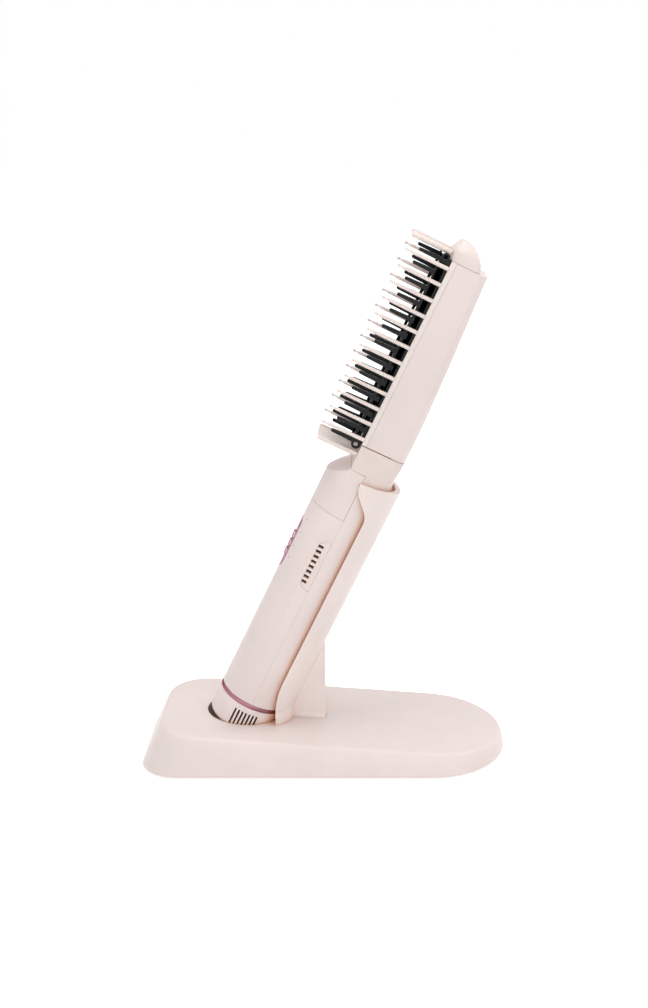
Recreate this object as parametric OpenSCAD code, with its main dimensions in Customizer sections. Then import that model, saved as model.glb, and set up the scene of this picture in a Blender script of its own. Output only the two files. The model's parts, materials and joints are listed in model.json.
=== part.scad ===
// Cordless hair straightening brush that leans in its charging stand, in millimetres.
// The origin is the bottom centre of the stand: X runs along it, Y away from the viewer, Z up.
// The brush is drawn in its own frame, with Z along the handle from its foot and X towards its
// pins and buttons. on_brush() leans that frame into the stand.

/* [Stand] */
// Length of the stand's footprint
stand_len = 185.4; // [180:0.2:200]
// Width of the stand's footprint
stand_w = 81; // [78:0.5:95]
// Height of the sloping top face at the middle of the stand
stand_mid_h = 16; // [15.5:0.1:18]
// Fall of the top face towards the rounded end, in degrees
stand_slope = 4.3; // [3:0.1:4.6]
// Length of the rounded end
stand_end_len = 37.7; // [32:0.1:44]
// Corner radius of the square end at the footprint
stand_corner_r = 19; // [14:0.5:24]
// Lean of the square end's wall from footprint to top
stand_end_draft = 8.7; // [6:0.1:10]
// Lean of the long walls from footprint to top
stand_side_draft = 3.4; // [2:0.1:5]
// Rounding of the top edge
stand_edge_r = 2.4; // [2.2:0.1:4]
// Wall of the stand's housing
stand_wall = 2.2; // [1.8:0.1:2.6]
// Thickness of the bottom cover
cover_t = 2; // [1.8:0.1:2.2]
// Diameter of a rubber foot
pad_d = 10; // [8:0.5:12]
// Height of the stand's rim above the table
pad_h = 1.2; // [1:0.1:1.5]

/* [Seat of the brush] */
// Lean of the brush from upright, in degrees
lean = 25.75; // [24:0.25:28]
// Handle's foot in from the square end of the stand
foot_inset = 48.7; // [46:0.1:50]
// Clearance round the handle in the cup and the cradle
seat_gap = 0.5; // [0.4:0.05:0.8]
// Height of the cup's floor
cup_floor_z = 7; // [6.8:0.1:8]
// Thickness of the cup's floor and wall
cup_wall = 1.8; // [1.5:0.1:2]
// Wall of the cradle
cradle_wall = 2.9; // [2.4:0.1:3.6]
// Length of the cradle along the handle
cradle_len = 146.8; // [136:0.2:148]
// Depth of the cradle's long front edges behind the handle's axis
cradle_edge = 9.3; // [7:0.1:11]
// Reach of the flared lips in front of that axis
cradle_lip = 0.8; // [0:0.1:2]
// Length of the flare below the lips
cradle_flare = 17.5; // [12:0.5:20]
// Thickness of the gusset web behind the cradle
web_t = 4; // [3.6:0.1:6]
// Reach of the web's upright edge beyond the handle's foot
web_reach = 44; // [40:0.5:50]
// Diameter of the charging post in the cup
post_d = 16; // [14:0.5:20]
// Distance between the two charging pins
charge_pitch = 7; // [6:0.5:9]

/* [Handle] */
// Diameter of the handle
handle_d = 35; // [34.5:0.1:36]
// Wall of the handle's shells
shell_wall = 2; // [1.8:0.1:2.2]
// Length of the end cap
cap_len = 14.2; // [13:0.1:16]
// Width of the trim ring
ring_w = 2.2; // [2:0.1:4]
// Seam between neighbouring shells
seam = 0.15; // [0.1:0.05:0.2]
// Seam where the front shell meets the neck cover
collar_z = 125.6; // [122:0.2:130]
// Seam where the handle ends at the neck yoke
neck_z = 150.5; // [149.5:0.1:152]
// Number of slits on each side of the end cap
slit_count = 7; // [3:1:7]
// Distance between the slits
slit_pitch = 1.92; // [1.7:0.02:2]
// Width of a slit
slit_w = 1; // [0.6:0.1:1.2]
// Number of slots in a side vent
vent_slots = 8; // [4:1:8]
// Distance between the slots of a side vent
vent_pitch = 2.86; // [2.4:0.02:3]
// Width of one such slot
vent_slot_w = 1.5; // [0.8:0.1:1.6]

/* [Buttons] */
// Length of the control bezel along the handle
bezel_len = 30; // [28:0.5:34]
// Width of the control bezel
bezel_w = 10.4; // [10:0.2:11]
// Centre of the middle button along the handle
button_z = 99; // [98:0.2:100]
// Distance between the buttons
button_pitch = 4.8; // [4.6:0.1:5.2]
// Width of a button across the handle
button_w = 7; // [6:0.1:7.2]
// Length of a button along the handle
button_len = 3.6; // [3:0.1:3.8]
// Height of a button above the handle
button_proud = 0.8; // [0.7:0.1:1.2]
// Travel of a button
button_travel = 0.6; // [0.4:0.05:0.6]

/* [Head] */
// Seam where the head casing starts
head_z = 162.7; // [162:0.1:165]
// Width of the dark groove at that seam
head_groove = 0.5; // [0.3:0.05:0.7]
// Seam between the head casing and the tip cap
tip_z = 260.5; // [258:0.5:270]
// Length of the tip cap
tip_len = 10; // [9:0.5:14]
// Width of the head
head_w = 26; // [25.6:0.1:27]
// Front face of the head in front of the handle's axis
head_front = 8; // [7.6:0.1:8.4]
// Back of the head behind that axis at the neck
head_back = 15.2; // [14.6:0.1:15.6]
// Back of the head behind that axis at the tip
head_tip_back = 10.6; // [9.6:0.1:12]
// Wall of the head casing
head_wall = 1.8; // [1.6:0.1:2]

/* [Pins and comb] */
// Pins in each row
pin_count = 12; // [8:1:12]
// First pin above the head's seam
pin_start = 2.7; // [2.4:0.1:4]
// Last pin below the tip's seam
pin_end = 4.1; // [3:0.1:5]
// Length of a pin in front of the head
pin_len = 22.3; // [18:0.1:24]
// Length of the thin neck and bead at a pin's end
pin_neck = 3.4; // [2.6:0.1:4]
// Diameter of a pin at its root
pin_d = 2; // [1.6:0.1:2]
// Diameter of the bead on a pin's tip
bead_d = 1.5; // [1.1:0.1:1.6]
// Reach of the heated teeth in front of the head
tooth_len = 16.4; // [13:0.2:17]
// Width of a heated tooth at its root
tooth_root = 2.5; // [2:0.1:3]
// Distance of the outermost teeth beyond the end pins
end_tooth = 2.5; // [2.4:0.1:2.8]
// Number of longer teeth in the middle row, over the head's lower half
middle_teeth = 6; // [2:1:8]
// Reach of the middle teeth beyond the other teeth
middle_extra = 2.6; // [0:0.1:4]
// Width of a heated tooth at its tip
tooth_tip = 1.5; // [1.2:0.1:1.8]
// Thickness of a comb strip
strip_t = 1.4; // [1.2:0.1:1.5]
// Reach of the end guards in front of the head
guard_len = 21; // [19:0.5:24]

/* [Hidden] */

$fn = 64;
// Clearance of a piece that seats in another
fit = 0.15;
// Thickness of the thin slices that a hull joins
slab = 0.02;
// Reach of a cutting block, longer than the whole object
far = 400;

shell_colour = "mistyrose";
trim_colour = "rosybrown";
dark_colour = "dimgray";
board_colour = "seagreen";
metal_colour = "silver";

handle_r = handle_d / 2;
shell_in_r = handle_r - shell_wall;
seat_r = handle_r + seat_gap;
cradle_r = seat_r + cradle_wall;
ring_z = cap_len + seam;
shell_z = ring_z + ring_w + seam;

// Places of the handle's foot and of the web along the stand
foot_x = foot_inset - stand_len / 2;
web_x = foot_x + web_reach;

// The handle's foot clears the cup's floor at its lowest edge by this much
rest_gap = 0.26;
foot_z = cup_floor_z + handle_r * sin(lean) + rest_gap;

// Places in the stand
stand_end_lift = 3;
stand_right_draft = 0.8;
cover_top = pad_h + cover_t;
pad_x = [14.7 - stand_len / 2, stand_len / 2 - 22.7];
pad_y = [stand_w / 2 - 10.5, stand_w / 2 - 16.5];
cover_screw_x = [pad_x[0] + 2, pad_x[1] - 11];
cover_screw_y = pad_y[1] - 3;
cover_screw_len = 4.6;
cradle_screw_x = [foot_x + 32, foot_x + 39];
pad_sink = 0.9;
screw_r = 1.25;
screw_head_r = 2.6;
screw_head_t = 1.5;
boss_r = 3.2;
board_t = 1.2;
charging_board_z = cover_top + fit;
charging_board_len = 34;
charging_board_w = 26;
inlet_x = foot_x - 6;
inlet_w = 9;
inlet_h = 3.3;
inlet_len = 7.5;

// Height of the stand's top face over a place along it
function top_z(x) = stand_mid_h - x * tan(stand_slope);

// Places along the handle
spigot_len = 9;
spigot_r = shell_in_r - fit;
spigot_wall = 1.5;
slit_z = [0.8, 11.2];
slit_front = 6.3;
vent_z = 98.6;
vent_len = 27.5;
vent_h = 5.4;
vent_slot_deep = 2.6;
vent_t = 2.6;
bezel_z = 100.3;
cell_r = 9.2;
cell_len = 65;
cell_x = -3.4;
cell_z = 6.2;
cell_gap = 0.3;
carrier_r = handle_r - vent_t - fit;
carrier_z = cap_len + spigot_len + 1;
carrier_end = neck_z - 13.5;
deck_t = 1.2;
deck_x = cell_x + cell_r + 0.2;
deck_top = deck_x + deck_t;
button_board_x = deck_top + 3.6;
button_board_len = 32;
button_board_w = 15.2;
main_board_len = 58;
main_board_w = 21;
switch_top = button_board_x + board_t + 1.1;
button_foot = switch_top + button_travel + 0.1;
bezel_t = 1.6;
bezel_flange_t = 1;

// Places in the neck and the head
yoke_spigot_len = 12;
rear_end_z = neck_z - 6;
neck_back = 15.7;
shoulder_z = [neck_z - 8.1, neck_z - 1.3];
shoulder_x = [handle_r, head_front + 0.25];
shoulder_slope = (shoulder_z[1] - shoulder_z[0]) / (shoulder_x[0] - shoulder_x[1]);
shoulder_wall = 2;
shoulder_roof = 2.3;
rail_h = 2.5;
rail_w = 2;
head_half = head_w / 2;
casing_front = head_front - rail_h - fit;
taper_z = 175;
tip_front = head_front + 1.4;
tip_crown = 3.6;
tip_back_reach = 9.8;
tip_corner_r = [6, 2.8];
tip_flat = 5.5;
comb_z0 = head_z + 0.6;
comb_z1 = tip_z - 0.4;
plate_half = head_half - rail_w - fit;
plate_top = head_front - 0.6;
plate_t = 1.8;
strip_y = plate_half - strip_t - 0.2;
strip_sink = 0.8;
heater_t = 1.5;
pad_t = 2.1;
heater_top = plate_top - plate_t - fit;
pad_top = heater_top - heater_t - fit;
rib_top = pad_top - pad_t - fit;
pin_z0 = head_z + pin_start;
pin_z1 = tip_z - pin_end;
pin_pitch = (pin_z1 - pin_z0) / (pin_count - 1);
guard_t = 1.4;
guard_y = [11, 7.7];
guard_tip = head_front + guard_len;
guard_top_z = tip_z + 2.9;
guard_bottom_z = head_z - 5.5;
head_screw_z = [pin_z0 + pin_pitch, comb_z1 - 6];

// Leans the brush's frame into the stand
module on_brush() {
    translate([foot_x, 0, foot_z])
        rotate([0, lean, 0])
            rotate([0, 0, 180])
                children();
}

// Point of the stand's X and Z for a height along the handle and a depth in front of its axis
function seat_point(z, x) =
    [foot_x + z * sin(lean) - x * cos(lean), foot_z + z * cos(lean) + x * sin(lean)];

// Arc of an ellipse as a list of points
function arc(cx, cy, rx, ry, from, to, steps) =
    [for (i = [0:steps]) let (a = from + (to - from) * i / steps)
        [cx + rx * cos(a), cy + ry * sin(a)]];

// Curve that leaves p0 towards p1 and arrives at p2
function bend(p0, p1, p2, steps) =
    [for (i = [0:steps]) let (t = i / steps)
        (1 - t) * (1 - t) * p0 + 2 * t * (1 - t) * p1 + t * t * p2];

// Smooth rise from 0 to 1
function ease(t) = t * t * (3 - 2 * t);

// Block with everything in front of x, seen along the handle
module front_of(x) {
    translate([x, -far / 2, -far / 2]) cube([far, far, far]);
}

// Block with everything behind x
module behind(x) {
    translate([x - far, -far / 2, -far / 2]) cube([far, far, far]);
}

// Tube round the handle's axis
module tube(r_out, r_in, z0, z1) {
    difference() {
        translate([0, 0, z0]) cylinder(r = r_out, h = z1 - z0);
        translate([0, 0, z0 - 1]) cylinder(r = r_in, h = z1 - z0 + 2);
    }
}

// Outline drawn in the plane of the handle's axis, pushed through the whole width
module side_profile(points) {
    translate([0, far / 2, 0])
        rotate([90, 0, 0])
            linear_extrude(far)
                polygon(points);
}

// Pill-shaped block that points forwards from the axis, centred at z
module pill_forward(len, width, z) {
    r = min(len, width) / 2;
    reach = (len - width) / 2;
    translate([0, 0, z])
        rotate([0, 90, 0])
            linear_extrude(far) {
                if (reach > 0) {
                    translate([-reach, 0]) circle(r = r);
                    translate([reach, 0]) circle(r = r);
                    square([2 * reach, width], center = true);
                } else {
                    translate([0, reach]) circle(r = r);
                    translate([0, -reach]) circle(r = r);
                    square([len, -2 * reach], center = true);
                }
            }
}

// The stand

// Outline of the stand at its footprint (level 0) or its top (level 1), drawn in by inset
module stand_outline(level, inset) {
    half_w = stand_w / 2 - stand_side_draft * level - inset;
    left = inset + stand_end_draft * level - stand_len / 2;
    right = stand_len / 2 - stand_right_draft * level - inset;
    corner = stand_corner_r + stand_end_lift * level - inset;
    polygon(concat(
        arc(right - stand_end_len + inset, 0, stand_end_len - inset, half_w, -90, 90, 28),
        arc(left + corner, half_w - corner, corner, corner, 90, 180, 9),
        arc(left + corner, corner - half_w, corner, corner, 180, 270, 9)));
}

// Solid form of the stand, drawn in by inset, with a rounded top edge
module stand_form(inset, foot, edge) {
    hull() {
        translate([0, 0, foot]) linear_extrude(slab) stand_outline(0, inset);
        for (a = [0:22.5:90])
            translate([0, 0, stand_mid_h])
                rotate([0, stand_slope, 0])
                    translate([0, 0, -inset - edge * (1 - sin(a)) - slab])
                        linear_extrude(slab)
                            stand_outline(1, inset + edge * (1 - cos(a)));
    }
}

// Everything above a level height
module above(z) {
    translate([-far / 2, -far / 2, z]) cube([far, far, far]);
}

// Leaning hole of the cup, from its floor upwards
module cup_space() {
    intersection() {
        on_brush() translate([0, 0, -far / 8]) cylinder(r = seat_r, h = far / 4);
        above(cup_floor_z);
    }
}

// Both charging pins as leaning rods, thickened by gap
module charging_rods(gap) {
    for (side = [-1, 1])
        on_brush()
            translate([0, side * charge_pitch / 2, -far / 16])
                cylinder(r = 0.8 + gap, h = far / 16 - 0.2);
}

// Pill-shaped outline of the inlet, grown by gap
module inlet_outline(gap) {
    r = inlet_h / 2;
    for (side = [-1, 1])
        translate([side * (inlet_w / 2 - r), 0]) circle(r = r + gap);
    square([inlet_w - 2 * r, 2 * (r + gap)], center = true);
}

// Puts an outline at the inlet's place, facing away from the viewer
module at_inlet(y0, y1) {
    translate([inlet_x, y1, charging_board_z + board_t + fit + inlet_h / 2])
        rotate([90, 0, 0])
            linear_extrude(y1 - y0)
                children();
}

module at_cover_screws() {
    for (x = cover_screw_x, side = [-1, 1])
        translate([x, side * cover_screw_y, 0])
            children();
}

module stand_base() {
    color(shell_colour)
    difference() {
        union() {
            difference() {
                stand_form(0, pad_h, stand_edge_r);
                stand_form(stand_wall, pad_h, stand_edge_r - 1);
                translate([0, 0, pad_h - 1])
                    linear_extrude(1 + slab) stand_outline(0, stand_wall);
            }
            intersection() {
                stand_form(0, pad_h, stand_edge_r);
                on_brush()
                    translate([0, 0, -far / 8])
                        cylinder(r = seat_r + cup_wall, h = far / 4);
                above(cup_floor_z - cup_wall);
            }
            for (x = cover_screw_x, side = [-1, 1])
                translate([x, side * cover_screw_y, cover_top + fit])
                    cylinder(r = boss_r, h = top_z(x) - cover_top - fit - stand_wall / 2);
        }
        cup_space();
        charging_rods(fit);
        at_inlet(stand_w / 2 - 8, stand_w / 2 + 1) inlet_outline(fit);
        at_cover_screws() translate([0, 0, pad_h]) cylinder(r = screw_r + 0.05, h = 7);
        for (x = cradle_screw_x)
            translate([x, 0, pad_h]) cylinder(r = screw_r + fit, h = far / 4);
    }
}

// Side view of the cradle: an upright lower edge, a long leaning edge and a flared lip
cradle_foot_x = foot_x + 19;
cradle_bend = 10;
cradle_front = concat(
    [[cradle_foot_x, -5]],
    let (z = (cradle_foot_x - foot_x - cradle_edge * cos(lean)) / sin(lean),
        knee = seat_point(z, -cradle_edge))
    bend(knee - [0, cradle_bend], knee, seat_point(z + cradle_bend, -cradle_edge), 8),
    [for (i = [0:10]) let (t = i / 10)
        seat_point(cradle_len - 1.8 - cradle_flare * (1 - t),
            (cradle_edge + cradle_lip) * pow(ease(t), 1.3) - cradle_edge)],
    [seat_point(cradle_len, cradle_lip)],
    [seat_point(cradle_len, -2 * cradle_r)],
    [[web_x + 20, -5]]);

// Height at which the foot of the cradle's back stops leaning and drops straight down
skirt_z = stand_mid_h + 8.5;
skirt_r = cradle_r - 0.8;
skirt_x = foot_x + (skirt_z - foot_z) * tan(lean) + cradle_r / cos(lean) - skirt_r;

// Web's foot, spread by a hollow rounding on both sides where it stands on the stand
web_foot_r = 2.6;

module web_foot() {
    half = web_t / 2 + web_foot_r;
    translate([0, 0, stand_mid_h])
        rotate([0, stand_slope, 0])
            translate([foot_x, 0, 0])
                rotate([90, 0, 90])
                    linear_extrude(web_reach - 0.4)
                        difference() {
                            translate([-half, -1]) square([2 * half, 1 + web_foot_r]);
                            for (side = [-1, 1])
                                translate([side * half, web_foot_r]) circle(r = web_foot_r - 0.05);
                        }
}

module stand_cradle() {
    color(shell_colour)
    difference() {
        union() {
            intersection() {
                union() {
                    on_brush()
                        translate([0, 0, -far / 8])
                            cylinder(r = cradle_r, h = cradle_len + far / 8);
                    translate([skirt_x, 0, 0]) cylinder(r = skirt_r, h = skirt_z);
                }
                side_profile(cradle_front);
            }
            intersection() {
                translate([foot_x, -web_t / 2, 0]) cube([web_x - foot_x, web_t, far / 4]);
                on_brush() behind(-seat_r - cradle_wall / 2);
            }
            intersection() {
                web_foot();
                on_brush() behind(-seat_r - cradle_wall / 2);
            }
        }
        on_brush() translate([0, 0, -far / 8]) cylinder(r = seat_r, h = far);
        translate([0, 0, stand_mid_h + 0.05])
            rotate([0, stand_slope, 0])
                translate([-far / 2, -far / 2, -far]) cube([far, far, far]);
        for (x = cradle_screw_x)
            translate([x, 0, 0]) cylinder(r = screw_r + 0.05, h = top_z(x) + 9);
    }
}

module bottom_cover() {
    color(shell_colour)
    difference() {
        intersection() {
            stand_form(stand_wall + fit, pad_h, stand_edge_r - 1);
            translate([-far / 2, -far / 2, 0]) cube([far, far, cover_top]);
        }
        at_cover_screws() {
            cylinder(r = screw_r + fit, h = far / 4);
            cylinder(r = screw_head_r + fit, h = pad_h + screw_head_t);
        }
        at_rubber_feet() cylinder(r = pad_d / 2 + 0.05, h = pad_h + pad_sink);
    }
}

module at_rubber_feet() {
    for (i = [0, 1], side = [-1, 1])
        translate([pad_x[i], side * pad_y[i], 0])
            children();
}

module rubber_feet() {
    color(dark_colour)
    at_rubber_feet() {
        cylinder(r1 = pad_d / 2 - 0.4, r2 = pad_d / 2, h = 0.4);
        translate([0, 0, 0.4]) cylinder(r = pad_d / 2, h = pad_h + pad_sink - 0.4);
    }
}

// Screw that points up, its head's underside at z = 0
module screw(r, head_r, head_t, len) {
    difference() {
        union() {
            translate([0, 0, -head_t]) cylinder(r = head_r, h = head_t);
            cylinder(r = r, h = len - r);
            translate([0, 0, len - r]) cylinder(r1 = r, r2 = r / 3, h = r);
        }
        for (turn = [0, 90])
            rotate([0, 0, turn])
                translate([-head_r * 0.6, -0.25, -head_t - 1])
                    cube([head_r * 1.2, 0.5, 1 + head_t / 2]);
    }
}

module cover_screws() {
    color(metal_colour)
    at_cover_screws()
        translate([0, 0, pad_h + screw_head_t])
            screw(screw_r, screw_head_r, screw_head_t - 0.1, cover_screw_len);
}

module cradle_screws() {
    color(metal_colour)
    for (x = cradle_screw_x)
        translate([x, 0, top_z(x) - stand_wall - 0.4])
            screw(screw_r, screw_head_r, screw_head_t, 10);
}

module charging_post() {
    color(dark_colour)
    difference() {
        intersection() {
            on_brush() translate([0, 0, -far / 8]) cylinder(r = post_d / 2, h = far / 8 - 0.3);
            above(cup_floor_z + 0.05);
        }
        charging_rods(0.05);
    }
}

module charging_pins() {
    color("gold")
    intersection() {
        charging_rods(0);
        above(charging_board_z + board_t + 0.1);
    }
}

module charging_board() {
    tongue_y = stand_w / 2 - 5;
    color(board_colour)
    translate([foot_x - 0.6 * charging_board_len, 0, charging_board_z]) {
        translate([0, -charging_board_w / 2, 0])
            cube([charging_board_len, charging_board_w, board_t]);
        translate([8, 0, 0]) cube([12, tongue_y, board_t]);
    }
}

// Flat reversible charging socket in the stand's far wall
module inlet_socket() {
    mouth_y = stand_w / 2 - 1.6;
    color(metal_colour) {
        difference() {
            at_inlet(mouth_y - inlet_len, mouth_y) inlet_outline(0);
            at_inlet(mouth_y - inlet_len + 1, mouth_y + 1) inlet_outline(-0.35);
        }
        at_inlet(mouth_y - inlet_len + 0.5, mouth_y - 1) square([6.7, 0.7], center = true);
    }
}

// The handle

module end_cap() {
    edge = 2;
    inner = shell_in_r;
    lip = spigot_r - spigot_wall;
    color(shell_colour)
    on_brush()
    difference() {
        rotate_extrude()
            polygon(concat(
                [[0, 0]],
                arc(handle_r - edge, edge, edge, edge, -90, 0, 6),
                [[handle_r, cap_len], [spigot_r, cap_len], [spigot_r, cap_len + spigot_len],
                    [lip, cap_len + spigot_len], [lip, cap_len - 1], [inner, cap_len - 3],
                    [inner, 2.4], [0, 2.4]]));
        difference() {
            for (i = [0:slit_count - 1])
                translate([slit_front - i * slit_pitch - slit_w / 2, -far / 2, slit_z[0]])
                    cube([slit_w, far, slit_z[1] - slit_z[0]]);
            cylinder(r = inner - 1, h = far);
        }
        at_contacts() {
            translate([0, 0, -1]) cylinder(r = 2 + 0.05, h = 1.8 + 0.05);
            cylinder(r = 1.05, h = 5);
        }
        handle_screw_holes(screw_r + 0.05);
    }
}

module at_contacts() {
    for (side = [-1, 1])
        translate([0, side * charge_pitch / 2, 0])
            children();
}

module charge_contacts() {
    color("gold")
    on_brush()
    at_contacts() {
        cylinder(r = 2, h = 0.8);
        cylinder(r = 1, h = 3.4);
    }
}

module trim_ring() {
    color(trim_colour)
    on_brush()
    tube(handle_r, spigot_r + fit, ring_z, ring_z + ring_w);
}

// Screws at the back of the handle, through the rear shell into both spigots
handle_screw_z = [cap_len + spigot_len - 2.8, neck_z - 9.5];

module handle_screw_holes(r) {
    for (z = handle_screw_z)
        translate([0, 0, z])
            rotate([0, -90, 0])
                cylinder(r = r, h = far);
}

module handle_screws() {
    color(metal_colour)
    on_brush()
    for (z = handle_screw_z)
        translate([1.2 - handle_r, 0, z])
            rotate([0, 90, 0])
                screw(screw_r, 2.2, 1, 3);
}

// Outline of a side vent insert in the plane of the axis, grown by gap
module vent_block(gap, side) {
    r = 4;
    half = vent_len / 2 + gap;
    top = vent_h + gap;
    points = concat(
        [[0, vent_z - half], [top - r, vent_z - half]],
        arc(top - r, vent_z - half + r, r, r, -90, 0, 6),
        arc(top - r, vent_z + half - r, r, r, 0, 90, 6),
        [[0, vent_z + half]]);
    intersection() {
        side_profile(points);
        translate([-far / 2, side > 0 ? 0 : -far, -far / 2]) cube([far, far, far]);
    }
}

module handle_front_shell() {
    color(shell_colour)
    on_brush()
    difference() {
        tube(handle_r, shell_in_r, shell_z, collar_z - seam / 2);
        behind(seam / 2);
        pill_forward(bezel_len, bezel_w, bezel_z);
        for (side = [-1, 1])
            vent_block(fit, side);
    }
}

module handle_rear_shell() {
    color(shell_colour)
    on_brush()
    difference() {
        tube(handle_r, shell_in_r, shell_z, rear_end_z - seam / 2);
        front_of(-seam / 2);
        handle_screw_holes(screw_r + fit);
        for (z = handle_screw_z)
            translate([1.2 - handle_r, 0, z])
                rotate([0, -90, 0])
                    cylinder(r = 2.2 + fit, h = 5);
    }
}

// Insert with a castellated front edge: the notches are the vent's slots
module side_vent(side) {
    first = vent_z - vent_pitch * (vent_slots - 1) / 2;
    color(shell_colour)
    on_brush()
    difference() {
        intersection() {
            tube(handle_r - 0.1, handle_r - vent_t, shell_z, neck_z);
            vent_block(0, side);
            front_of(seam / 2);
        }
        for (i = [0:vent_slots - 1])
            translate([vent_h - vent_slot_deep, -far / 2, first + i * vent_pitch - vent_slot_w / 2])
                cube([far, far, vent_slot_w]);
    }
}

module side_vent_near() {
    side_vent(1);
}

module side_vent_far() {
    side_vent(-1);
}

// Everything above the sloping shoulder, sunk by drop, and in front of its step, moved back
module above_shoulder(drop, back) {
    step = shoulder_x[1] - back;
    low = shoulder_z[0] - drop - 9 * shoulder_slope;
    side_profile([[step, neck_z + 20],
        [step, shoulder_z[1] - drop + back * shoulder_slope],
        [shoulder_x[0] + 9, low], [far, low], [far, neck_z + 20]]);
}

// Front cover of the neck: half a tube closed by a sloping roof with a rounded rim
module neck_cover() {
    z0 = collar_z + seam / 2;
    z1 = neck_z - seam / 2;
    color(shell_colour)
    on_brush()
    difference() {
        union() {
            difference() {
                translate([0, 0, z0]) cylinder(r = handle_r, h = z1 - z0);
                behind(seam / 2);
                front_of(shoulder_x[1]);
            }
            hull()
                for (rim = [[0, 1.5], [0.45, 0.45], [1.5, 0]])
                    difference() {
                        translate([0, 0, z0])
                            cylinder(r = handle_r - rim[0], h = z1 - z0);
                        behind(shoulder_x[1] - 0.2);
                        above_shoulder(rim[1], 1);
                    }
        }
        difference() {
            translate([0, 0, z0 - 1]) cylinder(r = shell_in_r, h = z1 - z0 + 2);
            above_shoulder(shoulder_roof, shoulder_wall);
        }
    }
}

// Quarter of a rounded corner
function corner(cx, cy, r, from) = arc(cx, cy, r, r, from, from + 90, 6);

// Cross-section of the head: front and back faces at x, half its width, and corner radii
function section(front, back, half_w, r_front, r_back) =
    concat(
        corner(front - r_front, half_w - r_front, r_front, 0),
        corner(back + r_back, half_w - r_back, r_back, 90),
        corner(back + r_back, r_back - half_w, r_back, 180),
        corner(front - r_front, r_front - half_w, r_front, 270));

module slice(z, points) {
    translate([0, 0, z]) linear_extrude(slab) polygon(points);
}

// Outline of the neck at the handle's seam: round, with its back half flattened to back
module neck_outline(front, back) {
    intersection() {
        circle(r = handle_r);
        translate([0, -far / 2]) square([front, far]);
    }
    intersection() {
        scale([back / handle_r, 1]) circle(r = handle_r);
        translate([-far, -far / 2]) square([far + slab, far]);
    }
}

// Slice through the hollow sweep from that outline (share 0) to the flat-sided head (share 1)
yoke_sweep = 7.6;
yoke_steps = 4;

module yoke_slice(share, front, z0) {
    left = pow(1 - share, 2);
    if (share == 0)
        translate([0, 0, z0]) linear_extrude(slab) neck_outline(front, neck_back);
    else
        slice(z0 + share * yoke_sweep,
            section(front, -head_back - (neck_back - head_back) * left,
                head_half + (handle_r - head_half) * left, 0.4 + 5 * left, 5 + 10 * left));
}

// Back half of the neck below the seam, from the rear shell up into the sweep
module yoke_back(z0, z1) {
    bend_z = z0 + 2.2;
    levels = [[z0, handle_r], [bend_z, neck_back + 0.3], [z1, neck_back]];
    difference() {
        for (i = [0, 1])
            hull()
                for (level = [levels[i], levels[i + 1]])
                    translate([0, 0, level[0]])
                        linear_extrude(slab)
                            intersection() {
                                scale([level[1] / handle_r, 1]) circle(r = handle_r);
                                translate([-far, -far / 2]) square([far - seam / 2, far]);
                            }
        translate([0, 0, z0 - 1]) cylinder(r = spigot_r - 2, h = z1 - z0 + 1);
    }
}

// Block that turns the round handle into the flat-sided head
module neck_yoke() {
    front = head_front - 0.2;
    z0 = neck_z + seam / 2;
    z1 = head_z - head_groove / 2;
    spigot_in = spigot_r - 2;
    color(shell_colour)
    on_brush()
    difference() {
        union() {
            for (i = [0:yoke_steps - 1])
                hull() {
                    yoke_slice(i / yoke_steps, front, z0);
                    yoke_slice((i + 1) / yoke_steps, front, z0);
                }
            hull() {
                yoke_slice(1, front, z0);
                slice(z1 - slab, section(front, -head_back, head_half, 0.4, 5));
            }
            yoke_back(rear_end_z + seam / 2, z0);
            difference() {
                tube(spigot_r, spigot_in, neck_z - yoke_spigot_len, z0 + 1);
                above_shoulder(shoulder_roof + fit, shoulder_wall + fit);
            }
            translate([0.6 - spigot_r, -4, neck_z - yoke_spigot_len])
                cube([4, 8, yoke_spigot_len + 1]);
            tenon_half = head_half - head_wall - fit;
            translate([-head_back + head_wall + 3, -tenon_half + 3, z1 - 1])
                cube([head_back - head_wall - 4, 2 * tenon_half - 6, 5]);
        }
        translate([-3, 0, neck_z - far / 4]) cylinder(r = 4.5, h = far);
        handle_screw_holes(screw_r + 0.05);
        translate([head_front - 3, -4 - 0.1, guard_bottom_z - guard_t / 2 - 0.1])
            cube([far, 8.2, guard_t + 0.2]);
    }
}

// The controls

module control_bezel() {
    flange_r = shell_in_r - fit;
    color(trim_colour)
    on_brush()
    difference() {
        union() {
            intersection() {
                tube(handle_r, flange_r - bezel_flange_t, shell_z, neck_z);
                pill_forward(bezel_len - 2 * fit, bezel_w - 2 * fit, bezel_z);
            }
            intersection() {
                tube(flange_r, flange_r - bezel_flange_t, shell_z, neck_z);
                pill_forward(bezel_len + 3, bezel_w + 3, bezel_z);
            }
        }
        intersection() {
            cylinder(r = handle_r - bezel_t, h = far);
            translate([0, -button_w / 2 - 1.1, button_z - 1.5 * button_pitch - 0.6])
                cube([far, button_w + 2.2, 3 * button_pitch + 1.2]);
        }
        for (i = [-1:1])
            pill_forward(button_len + 0.5, button_w + 0.5, button_z + i * button_pitch);
    }
}

// Button with a curved face, a retaining foot below the bezel and a short plunger
module button(place) {
    z = button_z + place * button_pitch;
    foot_top = button_foot + 0.9;
    color(trim_colour)
    on_brush() {
        intersection() {
            cylinder(r = handle_r + button_proud, h = far);
            pill_forward(button_len, button_w, z);
            front_of(foot_top - 0.2);
        }
        translate([button_foot, -button_w / 2 - 0.6, z - button_len / 2 - 0.25])
            cube([foot_top - button_foot, button_w + 1.2, button_len + 0.5]);
    }
}

module power_button() {
    button(-1);
}

module warmer_button() {
    button(1);
}

module cooler_button() {
    button(0);
}

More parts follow.
